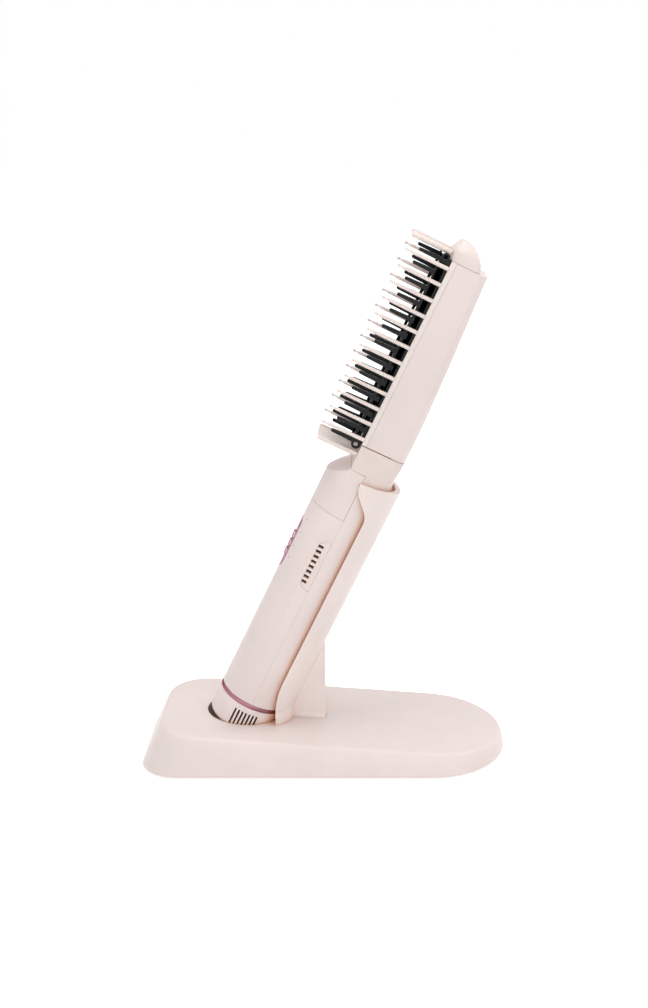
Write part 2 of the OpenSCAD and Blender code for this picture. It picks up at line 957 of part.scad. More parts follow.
module button_board() {
    color(board_colour)
    on_brush() {
        translate([button_board_x, -button_board_w / 2, button_z - 0.4 * button_board_len])
            cube([board_t, button_board_w, button_board_len]);
        for (i = [-1:1])
            translate([button_board_x + board_t - 0.05, 0, button_z + i * button_pitch]) {
                translate([0, -2, -2]) cube([0.75, 4, 4]);
                rotate([0, 90, 0]) cylinder(r = 1, h = 1.15);
            }
    }
}

module main_board() {
    z0 = carrier_z + 2;
    color(board_colour)
    on_brush()
    translate([deck_top + fit, 0, 0]) {
        translate([0, -main_board_w / 2, z0]) cube([board_t, main_board_w, main_board_len]);
        translate([board_t - 0.05, -4, z0 + 8]) cube([1.2, 8, 8]);
        translate([board_t - 0.05, -8, z0 + 24]) cube([3, 7, 7]);
        translate([board_t - 0.05, 5, z0 + 40])
            rotate([0, 90, 0]) cylinder(r = 3, h = 3.5);
    }
}

// Ribbed tray that holds both cells and carries the boards on its deck
module battery_carrier() {
    rib_t = 2;
    ribs = 5;
    step = (carrier_end - carrier_z - rib_t) / (ribs - 1);
    post_x = deck_top - 0.1;
    color(dark_colour)
    on_brush()
    difference() {
        union() {
            for (i = [0:ribs - 1])
                translate([0, 0, carrier_z + i * step])
                    linear_extrude(rib_t)
                        intersection() {
                            circle(r = carrier_r);
                            translate([deck_top - far, -far / 2]) square([far, far]);
                        }
            translate([deck_x, -11.5, carrier_z])
                cube([deck_t, 23, carrier_end - carrier_z]);
            for (side = [-1, 1])
                translate([cell_x - 3, side * 10.9 - 0.8, carrier_z])
                    cube([deck_x - cell_x + 3.5, 1.6, carrier_end - carrier_z]);
            for (z = [button_z - 10, button_z + 16], side = [-1, 1])
                translate([post_x, side * 6, z])
                    rotate([0, 90, 0])
                        cylinder(r = 1.4, h = button_board_x - post_x - 0.1);
        }
        translate([cell_x, 0, 0]) cylinder(r = cell_r + fit, h = far);
    }
}

module battery_cell(z) {
    color("steelblue")
    on_brush()
    translate([cell_x, 0, z]) {
        cylinder(r = cell_r, h = cell_len - 0.8);
        cylinder(r = 3, h = cell_len);
    }
}

module battery_cell_lower() {
    battery_cell(cell_z);
}

module battery_cell_upper() {
    battery_cell(cell_z + cell_len + cell_gap);
}

// The head

// Back face of the head at a height along the brush
function head_back_x(z) =
    -head_back + (head_back - head_tip_back) * pow(max(0, (z - taper_z) / (tip_z - taper_z)), 1.35);

// Tapering form of the head, drawn in by inset
module head_form(front, inset, z0, z1) {
    steps = 8;
    hull()
        for (i = [0:steps]) {
            z = z0 + (z1 - z0 - slab) * i / steps;
            slice(z, section(front, head_back_x(z) + inset, head_half - inset, 0.2, 5 - inset));
        }
}

module head_casing() {
    z0 = head_z + head_groove / 2;
    z1 = tip_z - seam / 2;
    ribs = [for (i = [1:4]) z0 + (z1 - z0) * i / 5];
    color(shell_colour)
    on_brush()
    difference() {
        union() {
            difference() {
                head_form(casing_front, 0, z0, z1);
                head_form(casing_front + 1, head_wall, z0 - 1, z1 - head_wall);
            }
            intersection() {
                head_form(casing_front, 0.5, z0, z1);
                for (z = ribs)
                    translate([-head_back, -head_half, z])
                        cube([rib_top + head_back, head_w, 1.4]);
            }
            for (z = head_screw_z)
                translate([head_back_x(z) + 1, 0, z])
                    rotate([0, 90, 0])
                        cylinder(r = 2.6, h = rib_top - head_back_x(z) - 1);
        }
        head_screw_holes(1.05, 8);
        for (z = ribs)
            translate([head_back_x(z) + 4, -5, z - 1]) cube([4, 10, 4]);
    }
}

module head_screw_holes(r, deep) {
    for (z = head_screw_z)
        translate([plate_top - deep - 6, 0, z])
            rotate([0, 90, 0])
                cylinder(r = r, h = far);
}

// Domed cap with a flat front that slopes back to its top
module tip_cap() {
    z0 = tip_z + seam / 2;
    steps = 9;
    color(shell_colour)
    on_brush()
    difference() {
        hull()
            for (i = [0:steps]) {
                t = 0.985 * sin(90 * i / steps);
                z = z0 + (tip_len - slab) * t;
                back = tip_crown - tip_back_reach * pow(1 - pow(t, 1.7), 1 / 1.7);
                front = tip_front - 0.5 * max(0, z - z0 - tip_flat);
                half_w = head_half - 5 * pow(t, 3) - 2 * pow(t, 10);
                deep = front - back;
                slice(z, section(front, back, half_w,
                    min(tip_corner_r[0], 0.6 * deep), min(tip_corner_r[1], 0.4 * deep)));
            }
        translate([tip_front - 2.6, -4.1, guard_top_z - guard_t / 2 - 0.1])
            cube([far, 8.2, guard_t + 0.2]);
    }
}

// Pin that tapers to a shoulder; a thin neck beyond the shoulder carries a bead
module pin() {
    bead_r = bead_d / 2;
    neck_r = 0.6 * bead_r;
    end_r = pin_d / 2 - 0.2;
    shoulder = pin_len - pin_neck;
    cylinder(r1 = pin_d / 2, r2 = end_r, h = shoulder, $fn = 24);
    translate([0, 0, shoulder]) cylinder(r1 = end_r, r2 = neck_r, h = bead_r, $fn = 24);
    cylinder(r = neck_r, h = pin_len - bead_r, $fn = 24);
    translate([0, 0, pin_len - bead_r]) sphere(r = bead_r, $fn = 24);
}

// Rail along one edge of the head with its row of pins
module pin_rail(side) {
    y = side * (head_half - rail_w / 2);
    z0 = head_z + head_groove / 2;
    color(shell_colour)
    on_brush() {
        translate([casing_front + fit, y - rail_w / 2, z0])
            cube([rail_h, rail_w, tip_z - seam / 2 - z0]);
        for (i = [0:pin_count - 1])
            translate([head_front - 0.1, y, pin_z0 + i * pin_pitch])
                rotate([0, 90, 0])
                    pin();
    }
}

module pin_rail_near() {
    pin_rail(1);
}

module pin_rail_far() {
    pin_rail(-1);
}

// Heated base plate with a groove for each comb strip and its own middle row of longer teeth
module heated_plate() {
    color(dark_colour)
    on_brush()
    difference() {
        union() {
            translate([plate_top - plate_t, -plate_half, comb_z0])
                cube([plate_t, 2 * plate_half, comb_z1 - comb_z0]);
            for (i = [1:middle_teeth])
                translate([0, strip_t / 2, tooth_z[i]])
                    rotate([90, 0, 0])
                        linear_extrude(strip_t)
                            tooth(plate_top - slab, head_front + tooth_len + middle_extra);
        }
        for (side = [-1, 1])
            translate([plate_top - strip_sink - 0.05, side * (strip_y + strip_t / 2) - strip_t / 2 - 0.05,
                comb_z0 - 1])
                cube([far, strip_t + 0.1, comb_z1 - comb_z0 + 2]);
        head_screw_holes(1.3, 8);
        for (z = head_screw_z)
            translate([plate_top - 1, 0, z])
                rotate([0, 90, 0])
                    cylinder(r = 2.1, h = 5);
    }
}

// Heights of the heated teeth: one between each two pins and one beyond each end pin
tooth_z = concat([pin_z0 - end_tooth],
    [for (i = [0:pin_count - 2]) pin_z0 + (i + 0.5) * pin_pitch],
    [pin_z1 + end_tooth]);

// Tapering tooth with a round tip, in the plane of the axis
module tooth(root, reach) {
    tip = reach - tooth_tip / 2;
    polygon([[root, -tooth_root / 2], [tip, -tooth_tip / 2],
        [tip, tooth_tip / 2], [root, tooth_root / 2]]);
    translate([tip, 0]) circle(r = tooth_tip / 2);
}

// One comb strip in the plane of the axis: a base band and a bar with windows between them, a
// loop beyond each end of the head, and the tapering teeth
module comb_outline() {
    root = plate_top - strip_sink;
    clear = head_front + 0.1;
    band = head_front + 1.5;
    bar_in = band + 2.6;
    bar_out = bar_in + 1.4;
    last = len(tooth_z) - 1;
    low_r = 2.45;
    low = [clear + low_r, head_z - 1.05];
    high_r = 1.95;
    high = [tip_front - 0.1 + high_r, tip_z + 0.2];
    hole_r = 1.15;
    difference() {
        union() {
            translate([root, comb_z0]) square([band - root, comb_z1 - comb_z0]);
            translate([clear, low[1]]) square([band - clear, comb_z0 - low[1] + slab]);
            translate([clear, comb_z1 - high_r]) square([high[0] - clear, high_r]);
            translate([bar_in, tooth_z[0]]) square([bar_out - bar_in, tooth_z[last] - tooth_z[0]]);
            translate(low) circle(r = low_r);
            translate(high) circle(r = high_r);
            translate([high[0] - high_r, comb_z1 - slab])
                square([2 * high_r, high[1] - comb_z1 + slab]);
            for (z = tooth_z)
                translate([0, z]) tooth(band - slab, head_front + tooth_len);
        }
        translate([low[0] + 0.1, low[1] - 0.25]) circle(r = hole_r);
        translate(high) circle(r = hole_r);
    }
}

module comb_strip(side) {
    color(dark_colour)
    on_brush()
    translate([0, side * (strip_y + strip_t / 2) + strip_t / 2, 0])
        rotate([90, 0, 0])
            linear_extrude(strip_t)
                comb_outline();
}

module comb_strip_near() {
    comb_strip(1);
}

module comb_strip_far() {
    comb_strip(-1);
}

module heater_element() {
    margin = 13;
    color("tan")
    on_brush()
    translate([heater_top - heater_t, -7, comb_z0 + margin])
        cube([heater_t, 14, comb_z1 - comb_z0 - 2 * margin]);
}

module insulation_pad() {
    half = head_half - head_wall - 3 * fit;
    color("whitesmoke")
    on_brush()
    difference() {
        translate([pad_top - pad_t, -half, comb_z0 + 1])
            cube([pad_t, 2 * half, comb_z1 - comb_z0 - 2 - head_wall]);
        head_screw_holes(1.3, 8);
        translate([pad_top - 1.4, -2.2, (comb_z0 + comb_z1) / 2 - 4.2])
            cube([far, 4.4, 8.4]);
    }
}

module temperature_sensor() {
    color("orange")
    on_brush()
    translate([pad_top - 1.3, -2, (comb_z0 + comb_z1) / 2 - 4])
        cube([1.2, 4, 8]);
}

module head_screws() {
    color(metal_colour)
    on_brush()
    for (z = head_screw_z)
        translate([plate_top - 0.95, 0, z])
            rotate([0, -90, 0])
                screw(1, 2, 0.9, 9);
}

// Cross fin at one end of the pin rows: two posts with a thin web between them
module guard_fin(base_x, z, half, reach) {
    post_r = 1.2;
    tip_x = reach - post_r;
    round_r = 3.5;
    color(shell_colour)
    on_brush()
    translate([0, 0, z]) {
        for (side = [-1, 1])
            translate([base_x, side * half, 0]) {
                rotate([0, 90, 0]) cylinder(r = post_r, h = tip_x - base_x, $fn = 32);
                translate([tip_x - base_x, 0, 0]) sphere(r = post_r, $fn = 32);
            }
        translate([0, 0, -guard_t / 4])
            linear_extrude(guard_t / 2) {
                translate([base_x, -half]) square([tip_x - base_x, 2 * half]);
                translate([base_x, round_r - half])
                    square([reach - base_x, 2 * (half - round_r)]);
            }
        translate([base_x - 1.9, -4, -guard_t / 2]) cube([2, 8, guard_t]);
    }
}

module guard_fin_top() {
    guard_fin(tip_front + 0.1, guard_top_z, guard_y[1], guard_tip + 1);
}

module guard_fin_bottom() {
    guard_fin(head_front - 0.1, guard_bottom_z, guard_y[0], guard_tip);
}

stand_base();
stand_cradle();
bottom_cover();
rubber_feet();
cover_screws();
cradle_screws();
charging_post();
charging_pins();
charging_board();
inlet_socket();
end_cap();
charge_contacts();
trim_ring();
handle_front_shell();
handle_rear_shell();
side_vent_near();
side_vent_far();
neck_cover();
neck_yoke();
handle_screws();
control_bezel();
power_button();
warmer_button();
cooler_button();
button_board();
main_board();
battery_carrier();
battery_cell_lower();
battery_cell_upper();
head_casing();
tip_cap();
pin_rail_near();
pin_rail_far();
heated_plate();
comb_strip_near();
comb_strip_far();
heater_element();
insulation_pad();
temperature_sensor();
head_screws();
guard_fin_top();
guard_fin_bottom();
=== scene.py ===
# %% [markdown]
# # A cordless straightening brush that leans in its charging stand
# The model is a pale pink hair brush. Its round handle stands in the cup of a wedge-shaped base
# and leans back into a half-pipe cradle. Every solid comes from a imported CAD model, so sizes and
# joints are settled before this script starts. Blender gives the solids soft edges, rebuilds the
# pieces that repeat with Geometry Nodes, and paints everything with node materials.
# The frame is in metres, with the table at Z = 0 and the viewer on the -Y side.

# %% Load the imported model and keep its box
import json
import math

import bmesh
import bpy
from mathutils import Matrix, Vector


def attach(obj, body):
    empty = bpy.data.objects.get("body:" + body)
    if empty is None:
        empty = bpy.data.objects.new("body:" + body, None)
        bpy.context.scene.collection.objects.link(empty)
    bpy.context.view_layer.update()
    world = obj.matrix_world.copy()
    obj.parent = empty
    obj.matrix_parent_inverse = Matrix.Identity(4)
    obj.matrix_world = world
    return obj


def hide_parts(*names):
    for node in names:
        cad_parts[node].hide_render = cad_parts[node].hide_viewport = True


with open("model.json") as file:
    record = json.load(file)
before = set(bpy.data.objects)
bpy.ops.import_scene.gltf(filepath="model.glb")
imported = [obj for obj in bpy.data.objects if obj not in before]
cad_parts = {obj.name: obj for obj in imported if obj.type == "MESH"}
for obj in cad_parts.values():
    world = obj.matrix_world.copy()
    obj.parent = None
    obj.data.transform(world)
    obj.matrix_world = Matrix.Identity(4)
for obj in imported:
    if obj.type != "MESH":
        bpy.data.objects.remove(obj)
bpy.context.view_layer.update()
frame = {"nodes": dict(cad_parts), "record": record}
body_of = {cad_node: body for body, members in frame["record"]["behaviour"]["bodies"].items()
           for cad_node in members}

# %% [markdown]
# ## The camera
# A photograph can be matched by guessing a lens and moving the camera until things line up, or
# by solving for both from known points. Here both were solved, so only the answer is written
# down: the focal length in pixels, the downward tilt, and where the lens axis meets the image.
# The sensor is fitted to the longer side of the image, which is its height.

# %% Place the camera
IMAGE_W, IMAGE_H, SENSOR_MM = 648, 1008, 36
FOCAL_PX, TILT_DOWN, AXIS_X = 1419.2, 17.482, 384.766
EYE = (0.030653, -0.673167, 0.343257)

camera_data = bpy.data.cameras.new("camera")
camera_data.sensor_width = SENSOR_MM
camera_data.lens = FOCAL_PX * SENSOR_MM / IMAGE_H
camera_data.shift_x = (IMAGE_W / 2 - AXIS_X) / IMAGE_H
camera = bpy.data.objects.new("camera", camera_data)
camera.location = EYE
camera.rotation_euler = (math.radians(90 - TILT_DOWN), 0, 0)
bpy.context.scene.collection.objects.link(camera)
bpy.context.scene.camera = camera
print("lens %.2f mm, shift %.4f" % (camera_data.lens, camera_data.shift_x))

# %% [markdown]
# ## A short way to write nodes
# Node trees in Python get long, because every node, value and link is a line. One helper keeps
# them readable: it makes a node and takes each input as either a plain value or another node's
# output socket. An underscore stands for a space in a socket's name, and i0, i1 pick a socket by
# its number where several share a name. The other helpers are the few nodes used most.

# %% Helpers for nodes
def node(tree, kind, settings=None, **inputs):
    made = tree.nodes.new(kind)
    for key, value in (settings or {}).items():
        setattr(made, key, value)
    for key, value in inputs.items():
        by_number = key[0] == "i" and key[1:].isdigit()
        socket = made.inputs[int(key[1:])] if by_number else made.inputs[key.replace("_", " ")]
        if isinstance(value, bpy.types.NodeSocket):
            tree.links.new(value, socket)
        else:
            socket.default_value = value
    return made


def math_node(tree, operation, a, b):
    return node(tree, "ShaderNodeMath", {"operation": operation}, i0=a, i1=b).outputs[0]


def mix(tree, share, a, b, blend="MIX"):
    return node(tree, "ShaderNodeMix", {"data_type": "RGBA", "blend_type": blend}, i0=share,
                i6=a, i7=b).outputs[2]


def noise(tree, place, scale, detail):
    return node(tree, "ShaderNodeTexNoise", Vector=place, Scale=scale, Detail=detail).outputs["Fac"]


def ramp(tree, factor, stops):
    made = node(tree, "ShaderNodeValToRGB", Fac=factor)
    points = made.color_ramp.elements
    while len(points) < len(stops):
        points.new(0.5)
    for point, (place, colour) in zip(points, stops):
        point.position = place
        point.color = colour
    return made.outputs["Color"]


def grey(value):
    return (value, value, value, 1)

# %% [markdown]
# ## What plastic and metal have in common
# No moulded or plated surface has one flat colour or one roughness. Both kinds of material start
# from the same three parts: a new node material with Object coordinates, a colour that drifts a
# little darker and lighter with a cloud, and a roughness that follows another pattern.

# %% Common parts of the materials
def new_material(name):
    """A node material, its tree, its shader and the place that patterns are read from."""
    made = bpy.data.materials.new(name)
    made.use_nodes = True
    tree = made.node_tree
    place = node(tree, "ShaderNodeTexCoord").outputs["Object"]
    return made, tree, tree.nodes["Principled BSDF"], place


def drift_colour(tree, cloud, colour, drift, spread):
    """Colour that gets darker and lighter by the share drift, over the middle of the cloud."""
    low = tuple(c * (1 - drift) for c in colour) + (1,)
    high = tuple(min(1, c * (1 + drift)) for c in colour) + (1,)
    return ramp(tree, cloud, [(0.5 - spread, low), (0.5 + spread, high)])


def vary_roughness(tree, shader, pattern, low, high):
    tree.links.new(ramp(tree, pattern, [(0.3, grey(low)), (0.7, grey(high))]),
                   shader.inputs["Roughness"])


def add_bump(tree, shader, height, strength, depth):
    bump = node(tree, "ShaderNodeBump", Height=height, Strength=strength, Distance=depth)
    tree.links.new(bump.outputs["Normal"], shader.inputs["Normal"])

# %% [markdown]
# ## Satin moulded plastic
# The shells are injection moulded in pale pink plastic with a very fine spark-eroded texture.
# A flat colour would look like paper, so three things vary: the colour drifts by a few percent
# over some centimetres, the roughness changes with a finer cloud, and a bump as fine as the
# mould's texture breaks up the highlight. Edges that Pointiness finds are made a little lighter:
# partly scuffing from use, partly a painted highlight along them, strongest on the base. Light that
# bounces to and fro in a narrow gap between two pink walls turns warm and brown; few bounces are
# traced, so the Ambient Occlusion node paints warm brown shade into such gaps. All patterns read
# Object coordinates, in metres, so a scale of 1000 gives spots of about a millimetre.

# %% Plastic material
MOTTLE, SMEAR = 38, 260


def plastic(name, colour, rough=0.42, drift=0.05, texture=0.05, grain=2600, wear_and_edge_highlight=0.06, coat=0.0,
            gloss=0.5, glow=0.0, glow_reach=0.0015, painted_gap_shade=None, gap_reach=0.006):
    made, tree, shader, place = new_material(name)
    paint = drift_colour(tree, noise(tree, place, MOTTLE, 3), colour, drift, 0.15)
    # Partly scuffing, partly painted highlight: edges that Pointiness finds are made lighter.
    edge = node(tree, "ShaderNodeNewGeometry").outputs["Pointiness"]
    edge_wear_and_highlight = ramp(tree, edge, [(0.505, grey(0)), (0.56, grey(wear_and_edge_highlight))])
    lighter = tuple(c + 0.5 * (1 - c) for c in colour) + (1,)
    paint = mix(tree, edge_wear_and_highlight, paint, lighter)
    # Painted shade: where the Ambient Occlusion node finds a gap or crevice, the colour is darkened
    # towards warm brown.
    if painted_gap_shade:
        open_sky = node(tree, "ShaderNodeAmbientOcclusion", {"samples": 8},
                        Distance=gap_reach).outputs["AO"]
        tint = ramp(tree, open_sky, [(0.1, painted_gap_shade + (1,)), (0.72, grey(1))])
        paint = mix(tree, 1.0, paint, tint, "MULTIPLY")
    tree.links.new(paint, shader.inputs["Base Color"])
    vary_roughness(tree, shader, noise(tree, place, SMEAR, 4), rough - 0.05, rough + 0.05)
    add_bump(tree, shader, noise(tree, place, grain, 2), texture, 0.00008)
    shader.inputs["Specular IOR Level"].default_value = gloss
    shader.inputs["Coat Weight"].default_value = coat
    shader.inputs["Coat Roughness"].default_value = 0.15
    if glow:
        shader.inputs["Subsurface Weight"].default_value = glow
        shader.inputs["Subsurface Radius"].default_value = (1.0, 0.55, 0.4)
        shader.inputs["Subsurface Scale"].default_value = glow_reach
    return made


# The moulded shells all get the painted warm shade in their gaps.
moulded = {"drift": 0.02, "painted_gap_shade": (0.95, 0.64, 0.43)}
shell_pink = plastic("shell_pink", (0.800, 0.690, 0.658), glow=0.15, **moulded)
# The base's edges get the strongest painted highlight, a light line along them.
base_pink = plastic("base_pink", (0.795, 0.683, 0.653), wear_and_edge_highlight=0.15, glow=0.3, glow_reach=0.004,
                    **moulded)
cradle_pink = plastic("cradle_pink", (0.83, 0.725, 0.69), glow=0.15, **moulded)
# Painted shade on the neck: a darker copy of the shell plastic, whose gap shade reaches far, for
# the soft brown band under the head.
neck_pink_painted_shade = plastic("neck_pink_painted_shade", (0.75, 0.64, 0.60), glow=0.15, gap_reach=0.016, **moulded)
pin_pink = plastic("pin_pink", (0.84, 0.735, 0.69), rough=0.36, texture=0.02, glow=0.35)
guard_pink = plastic("guard_pink", (0.80, 0.70, 0.65), rough=0.38, glow=0.3)
# A near-black brown plastic; on the battery carrier it also stands for painted shade, the dark seen
# through the slits and notches.
dark_plastic = plastic("dark_plastic", (0.05, 0.024, 0.014), rough=0.7, drift=0.12, gloss=0.15)
heat_board = plastic("heat_board", (0.72, 0.70, 0.66), rough=0.8, drift=0.08, grain=900,
                     texture=0.4)
ceramic = plastic("ceramic", (0.62, 0.52, 0.38), rough=0.6, drift=0.1, grain=1500, texture=0.2)
rubber = plastic("rubber", (0.035, 0.032, 0.032), rough=0.75, drift=0.15, grain=1400,
                 texture=0.3)
solder_mask = plastic("solder_mask", (0.02, 0.13, 0.06), rough=0.35, drift=0.1)
sleeve_blue = plastic("sleeve_blue", (0.05, 0.14, 0.33), rough=0.3, coat=0.4)
mark_grey = plastic("mark_grey", (0.52, 0.42, 0.39), rough=0.5)
print("plastics:", shell_pink.name, pin_pink.name, guard_pink.name, rubber.name)

# %% [markdown]
# ## Metallised rose, dark coating, and the small metals
# The trim ring, the control panel and its buttons carry a thin metal film over plastic, in three
# strengths of plum rose, the ring the darkest. A metal shader turns white at a grazing angle,
# where the lacquer over such a film stays rosy, so Specular Tint colours that rim. Fine lines
# that run round the handle keep the film from looking like chrome. The comb is metal, but what
# is seen is its near-black satin coating, so its shader isn't metallic and has a weak, white
# gloss.

# %% Metal materials
LEAN, CLOUD = math.radians(25.75), 180


def metal(name, colour, rough=0.3, brush=(300, 300, 9000), metallic=1.0, gloss=0.5,
          rim_colour=(1, 1, 1)):
    made, tree, shader, place = new_material(name)
    turned = node(tree, "ShaderNodeMapping", Vector=place, Scale=brush,
                  Rotation=(0, -LEAN, 0)).outputs["Vector"]
    lines = noise(tree, turned, 1, 3)
    paint = drift_colour(tree, noise(tree, place, CLOUD, 3), colour, 0.1, 0.2)
    tree.links.new(paint, shader.inputs["Base Color"])
    vary_roughness(tree, shader, lines, rough - 0.06, rough + 0.08)
    add_bump(tree, shader, lines, 0.12, 0.00004)
    shader.inputs["Metallic"].default_value = metallic
    shader.inputs["Specular IOR Level"].default_value = gloss
    shader.inputs["Specular Tint"].default_value = rim_colour + (1,)
    return made


rose_metal = metal("rose_metal", (0.34, 0.155, 0.185), rough=0.26, rim_colour=(0.3, 0.1, 0.17))
panel_metal = metal("panel_metal", (0.45, 0.29, 0.335), rim_colour=(0.7, 0.5, 0.6))
button_metal = metal("button_metal", (0.46, 0.30, 0.37), rim_colour=(0.8, 0.6, 0.7))
comb_coating = metal("comb_coating", (0.010, 0.0105, 0.012), rough=0.32, metallic=0.0,
                     brush=(900, 900, 900), gloss=0.16)
steel = metal("steel", (0.55, 0.55, 0.57), rough=0.28)
gold_plate = metal("gold_plate", (0.75, 0.52, 0.2), rough=0.22)
print("metals:", rose_metal.name, comb_coating.name, steel.name, gold_plate.name)

# %% [markdown]
# ## The brush's own frame
# The handle leans by 25.75 degrees, which makes every coordinate on it awkward. The brush is
# therefore built upright in millimetres: X points to its pins, Z runs up the handle from its
# foot. One matrix then leans it and puts it into the cup. It is baked into each finished mesh,
# so that all objects keep their origin at the world's origin and no pattern turns with them.

# %% Matrices
HANDLE_R, SHELL_WALL, SEAM, FIT = 17.5, 2, 0.15, 0.15
SHELL_IN_R = HANDLE_R - SHELL_WALL
CUP_FLOOR, REST_GAP, FOOT_X = 7, 0.26, -44
FOOT_Z = CUP_FLOOR + HANDLE_R * math.sin(LEAN) + REST_GAP
MM = Matrix.Scale(0.001, 4)
BRUSH = (MM @ Matrix.Translation((FOOT_X, 0, FOOT_Z)) @ Matrix.Rotation(LEAN, 4, "Y")
         @ Matrix.Rotation(math.pi, 4, "Z"))
print("brush foot at z = %.2f mm, lean %.2f degrees" % (FOOT_Z, math.degrees(LEAN)))

# %% [markdown]
# ## From a raw mesh to a finished piece
# Every piece goes the same way. Points and faces become an object, modifiers shape it, and then
# its mesh is baked: the modifiers are applied and the matrix moves it into place. Last, it gets
# smooth shading with sharp edges over an angle, its material, and the body that it moves with.
# It also says which solid of the CAD model it stands for, so that this one isn't shown twice.

# %% Mesh helpers
def object_from(name, mesh):
    made = bpy.data.objects.new(name, mesh)
    bpy.context.scene.collection.objects.link(made)
    return made


def mesh_from(name, points, faces):
    mesh = bpy.data.meshes.new(name)
    mesh.from_pydata(points, [], faces)
    mesh.update()
    return mesh


def bake(made, matrix=None):
    """Applies every modifier, then the matrix, and leaves a plain mesh at the origin."""
    bpy.context.view_layer.update()
    evaluated = made.evaluated_get(bpy.context.evaluated_depsgraph_get())
    mesh = bpy.data.meshes.new_from_object(evaluated)
    made.modifiers.clear()
    made.data = mesh
    if matrix is not None:
        mesh.transform(matrix)
    return made


def soften(made, width, segments=2, angle=30):
    """Rounds every edge sharper than the angle, in the units of the mesh."""
    bevel = made.modifiers.new("bevel", "BEVEL")
    bevel.width = width
    bevel.segments = segments
    bevel.limit_method = "ANGLE"
    bevel.angle_limit = math.radians(angle)
    bevel.use_clamp_overlap = True
    bevel.miter_outer = "MITER_ARC"
    return made


def finish_piece(made, material, smooth, cad_node):
    """Shades a baked piece, gives it its material, and lets it ride where its solid rides."""
    mesh = made.data
    mesh.materials.clear()
    mesh.materials.append(material)
    mesh.polygons.foreach_set("material_index", [0] * len(mesh.polygons))
    mesh.shade_smooth()
    mesh.set_sharp_from_angle(angle=math.radians(smooth))
    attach(made, body_of[cad_node])
    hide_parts(cad_node)
    return made

# %% [markdown]
# ## Giving a CAD solid soft edges
# Real mouldings have no sharp edges: a radius of a few tenths of a millimetre catches a thin
# highlight that tells the eye how big the thing is. The CAD solids have sharp edges and come as
# loose triangles. A copy of each visible shell is merged, its flat triangles are joined into
# large faces, and its sharp edges are beveled. The gaps between neighbours then read as the
# thin shadow lines of real seams. Where the handle goes into the base, the rim of its hole is
# rounded about twice as far as the other edges, which is done with bevel weights.

# %% Soft-edged copies of the shells
METRE_MERGE, MM_MERGE = 2e-6, 1e-4
CUP_HOLE_R, ABOVE_CUP_FLOOR = 18.4, 0.014


def merge_flats(mesh, dist=MM_MERGE, angle=0.6):
    """Merges loose triangles, and joins those that are flat to within the angle."""
    work = bmesh.new()
    work.from_mesh(mesh)
    bmesh.ops.remove_doubles(work, verts=work.verts, dist=dist)
    bmesh.ops.dissolve_limit(work, angle_limit=math.radians(angle), verts=work.verts,
                             edges=work.edges)
    work.to_mesh(mesh)
    work.free()
    return mesh


def weigh_edges(mesh, angle, broad):
    """Weighs the edges over the angle: 1 where broad is true of both ends, and 0.45 elsewhere."""
    work = bmesh.new()
    work.from_mesh(mesh)
    weight = work.edges.layers.float.new("bevel_weight_edge")
    for each in work.edges:
        if len(each.link_faces) == 2 and each.calc_face_angle() > math.radians(angle):
            each[weight] = 1 if all(broad(end.co) for end in each.verts) else 0.45
    work.to_mesh(mesh)
    work.free()


def dressed(cad_node, name, material, width, segments=2, angle=28, smooth=32, broad=None):
    """Copy of a CAD solid with soft edges; the width of the bevel is in millimetres."""
    mesh = merge_flats(frame["nodes"][cad_node].data.copy(), METRE_MERGE)
    made = soften(object_from(name, mesh), width / 1000, segments, angle)
    if broad:
        weigh_edges(mesh, angle, broad)
        made.modifiers["bevel"].limit_method = "WEIGHT"
    finish_piece(bake(made), material, smooth, cad_node)
    print("%s: %d faces" % (name, len(made.data.polygons)))


def on_cup_rim(place):
    """True for a place where the cup's leaning hole breaks through the top of the base."""
    upright = BRUSH.inverted() @ place
    return math.hypot(upright.x, upright.y) < CUP_HOLE_R and place.z > ABOVE_CUP_FLOOR


dressed("stand_base", "base_housing", base_pink, 1.1, 3, broad=on_cup_rim)
dressed("stand_cradle", "cradle_trough", cradle_pink, 0.8, 3)
dressed("handle_front_shell", "front_shell", shell_pink, 0.05)
dressed("handle_rear_shell", "rear_shell", shell_pink, 0.05)
dressed("head_casing", "head_shell", shell_pink, 0.07)
dressed("heated_plate", "warm_plate", comb_coating, 0.2)
dressed("control_bezel", "control_panel", panel_metal, 0.2)
dressed("inlet_socket", "power_socket", steel, 0.1)
dressed("charging_post", "cup_post", dark_plastic, 0.3)

# %% [markdown]
# ## Turned forms
# The trim ring, the end cap, the pins, the feet and the screws are bodies of revolution. A
# modifier can spin a profile, but a few lines that build the rings give full control: each
# profile point becomes a ring of vertices, neighbouring rings are bridged, and points on the
# axis become a single vertex so that the poles are closed.

# %% Lathe helpers
def face_outwards(mesh, merge=None):
    work = bmesh.new()
    work.from_mesh(mesh)
    if merge:
        bmesh.ops.remove_doubles(work, verts=work.verts, dist=merge)
    bmesh.ops.recalc_face_normals(work, faces=work.faces)
    work.to_mesh(mesh)
    work.free()
    return mesh


def lathe(name, profile, steps, axis="Z"):
    """Spins (radius, height) points, listed from the lower pole to the upper one."""
    points, faces, rings = [], [], []
    for radius, height in profile:
        if radius < 1e-6:
            rings.append([len(points)])
            points.append((0, 0, height))
            continue
        rings.append(list(range(len(points), len(points) + steps)))
        for i in range(steps):
            turn = 2 * math.pi * i / steps
            points.append((radius * math.cos(turn), radius * math.sin(turn), height))
    for low, high in zip(rings, rings[1:]):
        for i in range(steps):
            j = (i + 1) % steps
            if len(low) == 1:
                faces.append((low[0], high[j], high[i]))
            elif len(high) == 1:
                faces.append((low[i], low[j], high[0]))
            else:
                faces.append((low[i], low[j], high[j], high[i]))
    if axis == "X":
        points = [(z, x, y) for x, y, z in points]
    return mesh_from(name, points, faces)


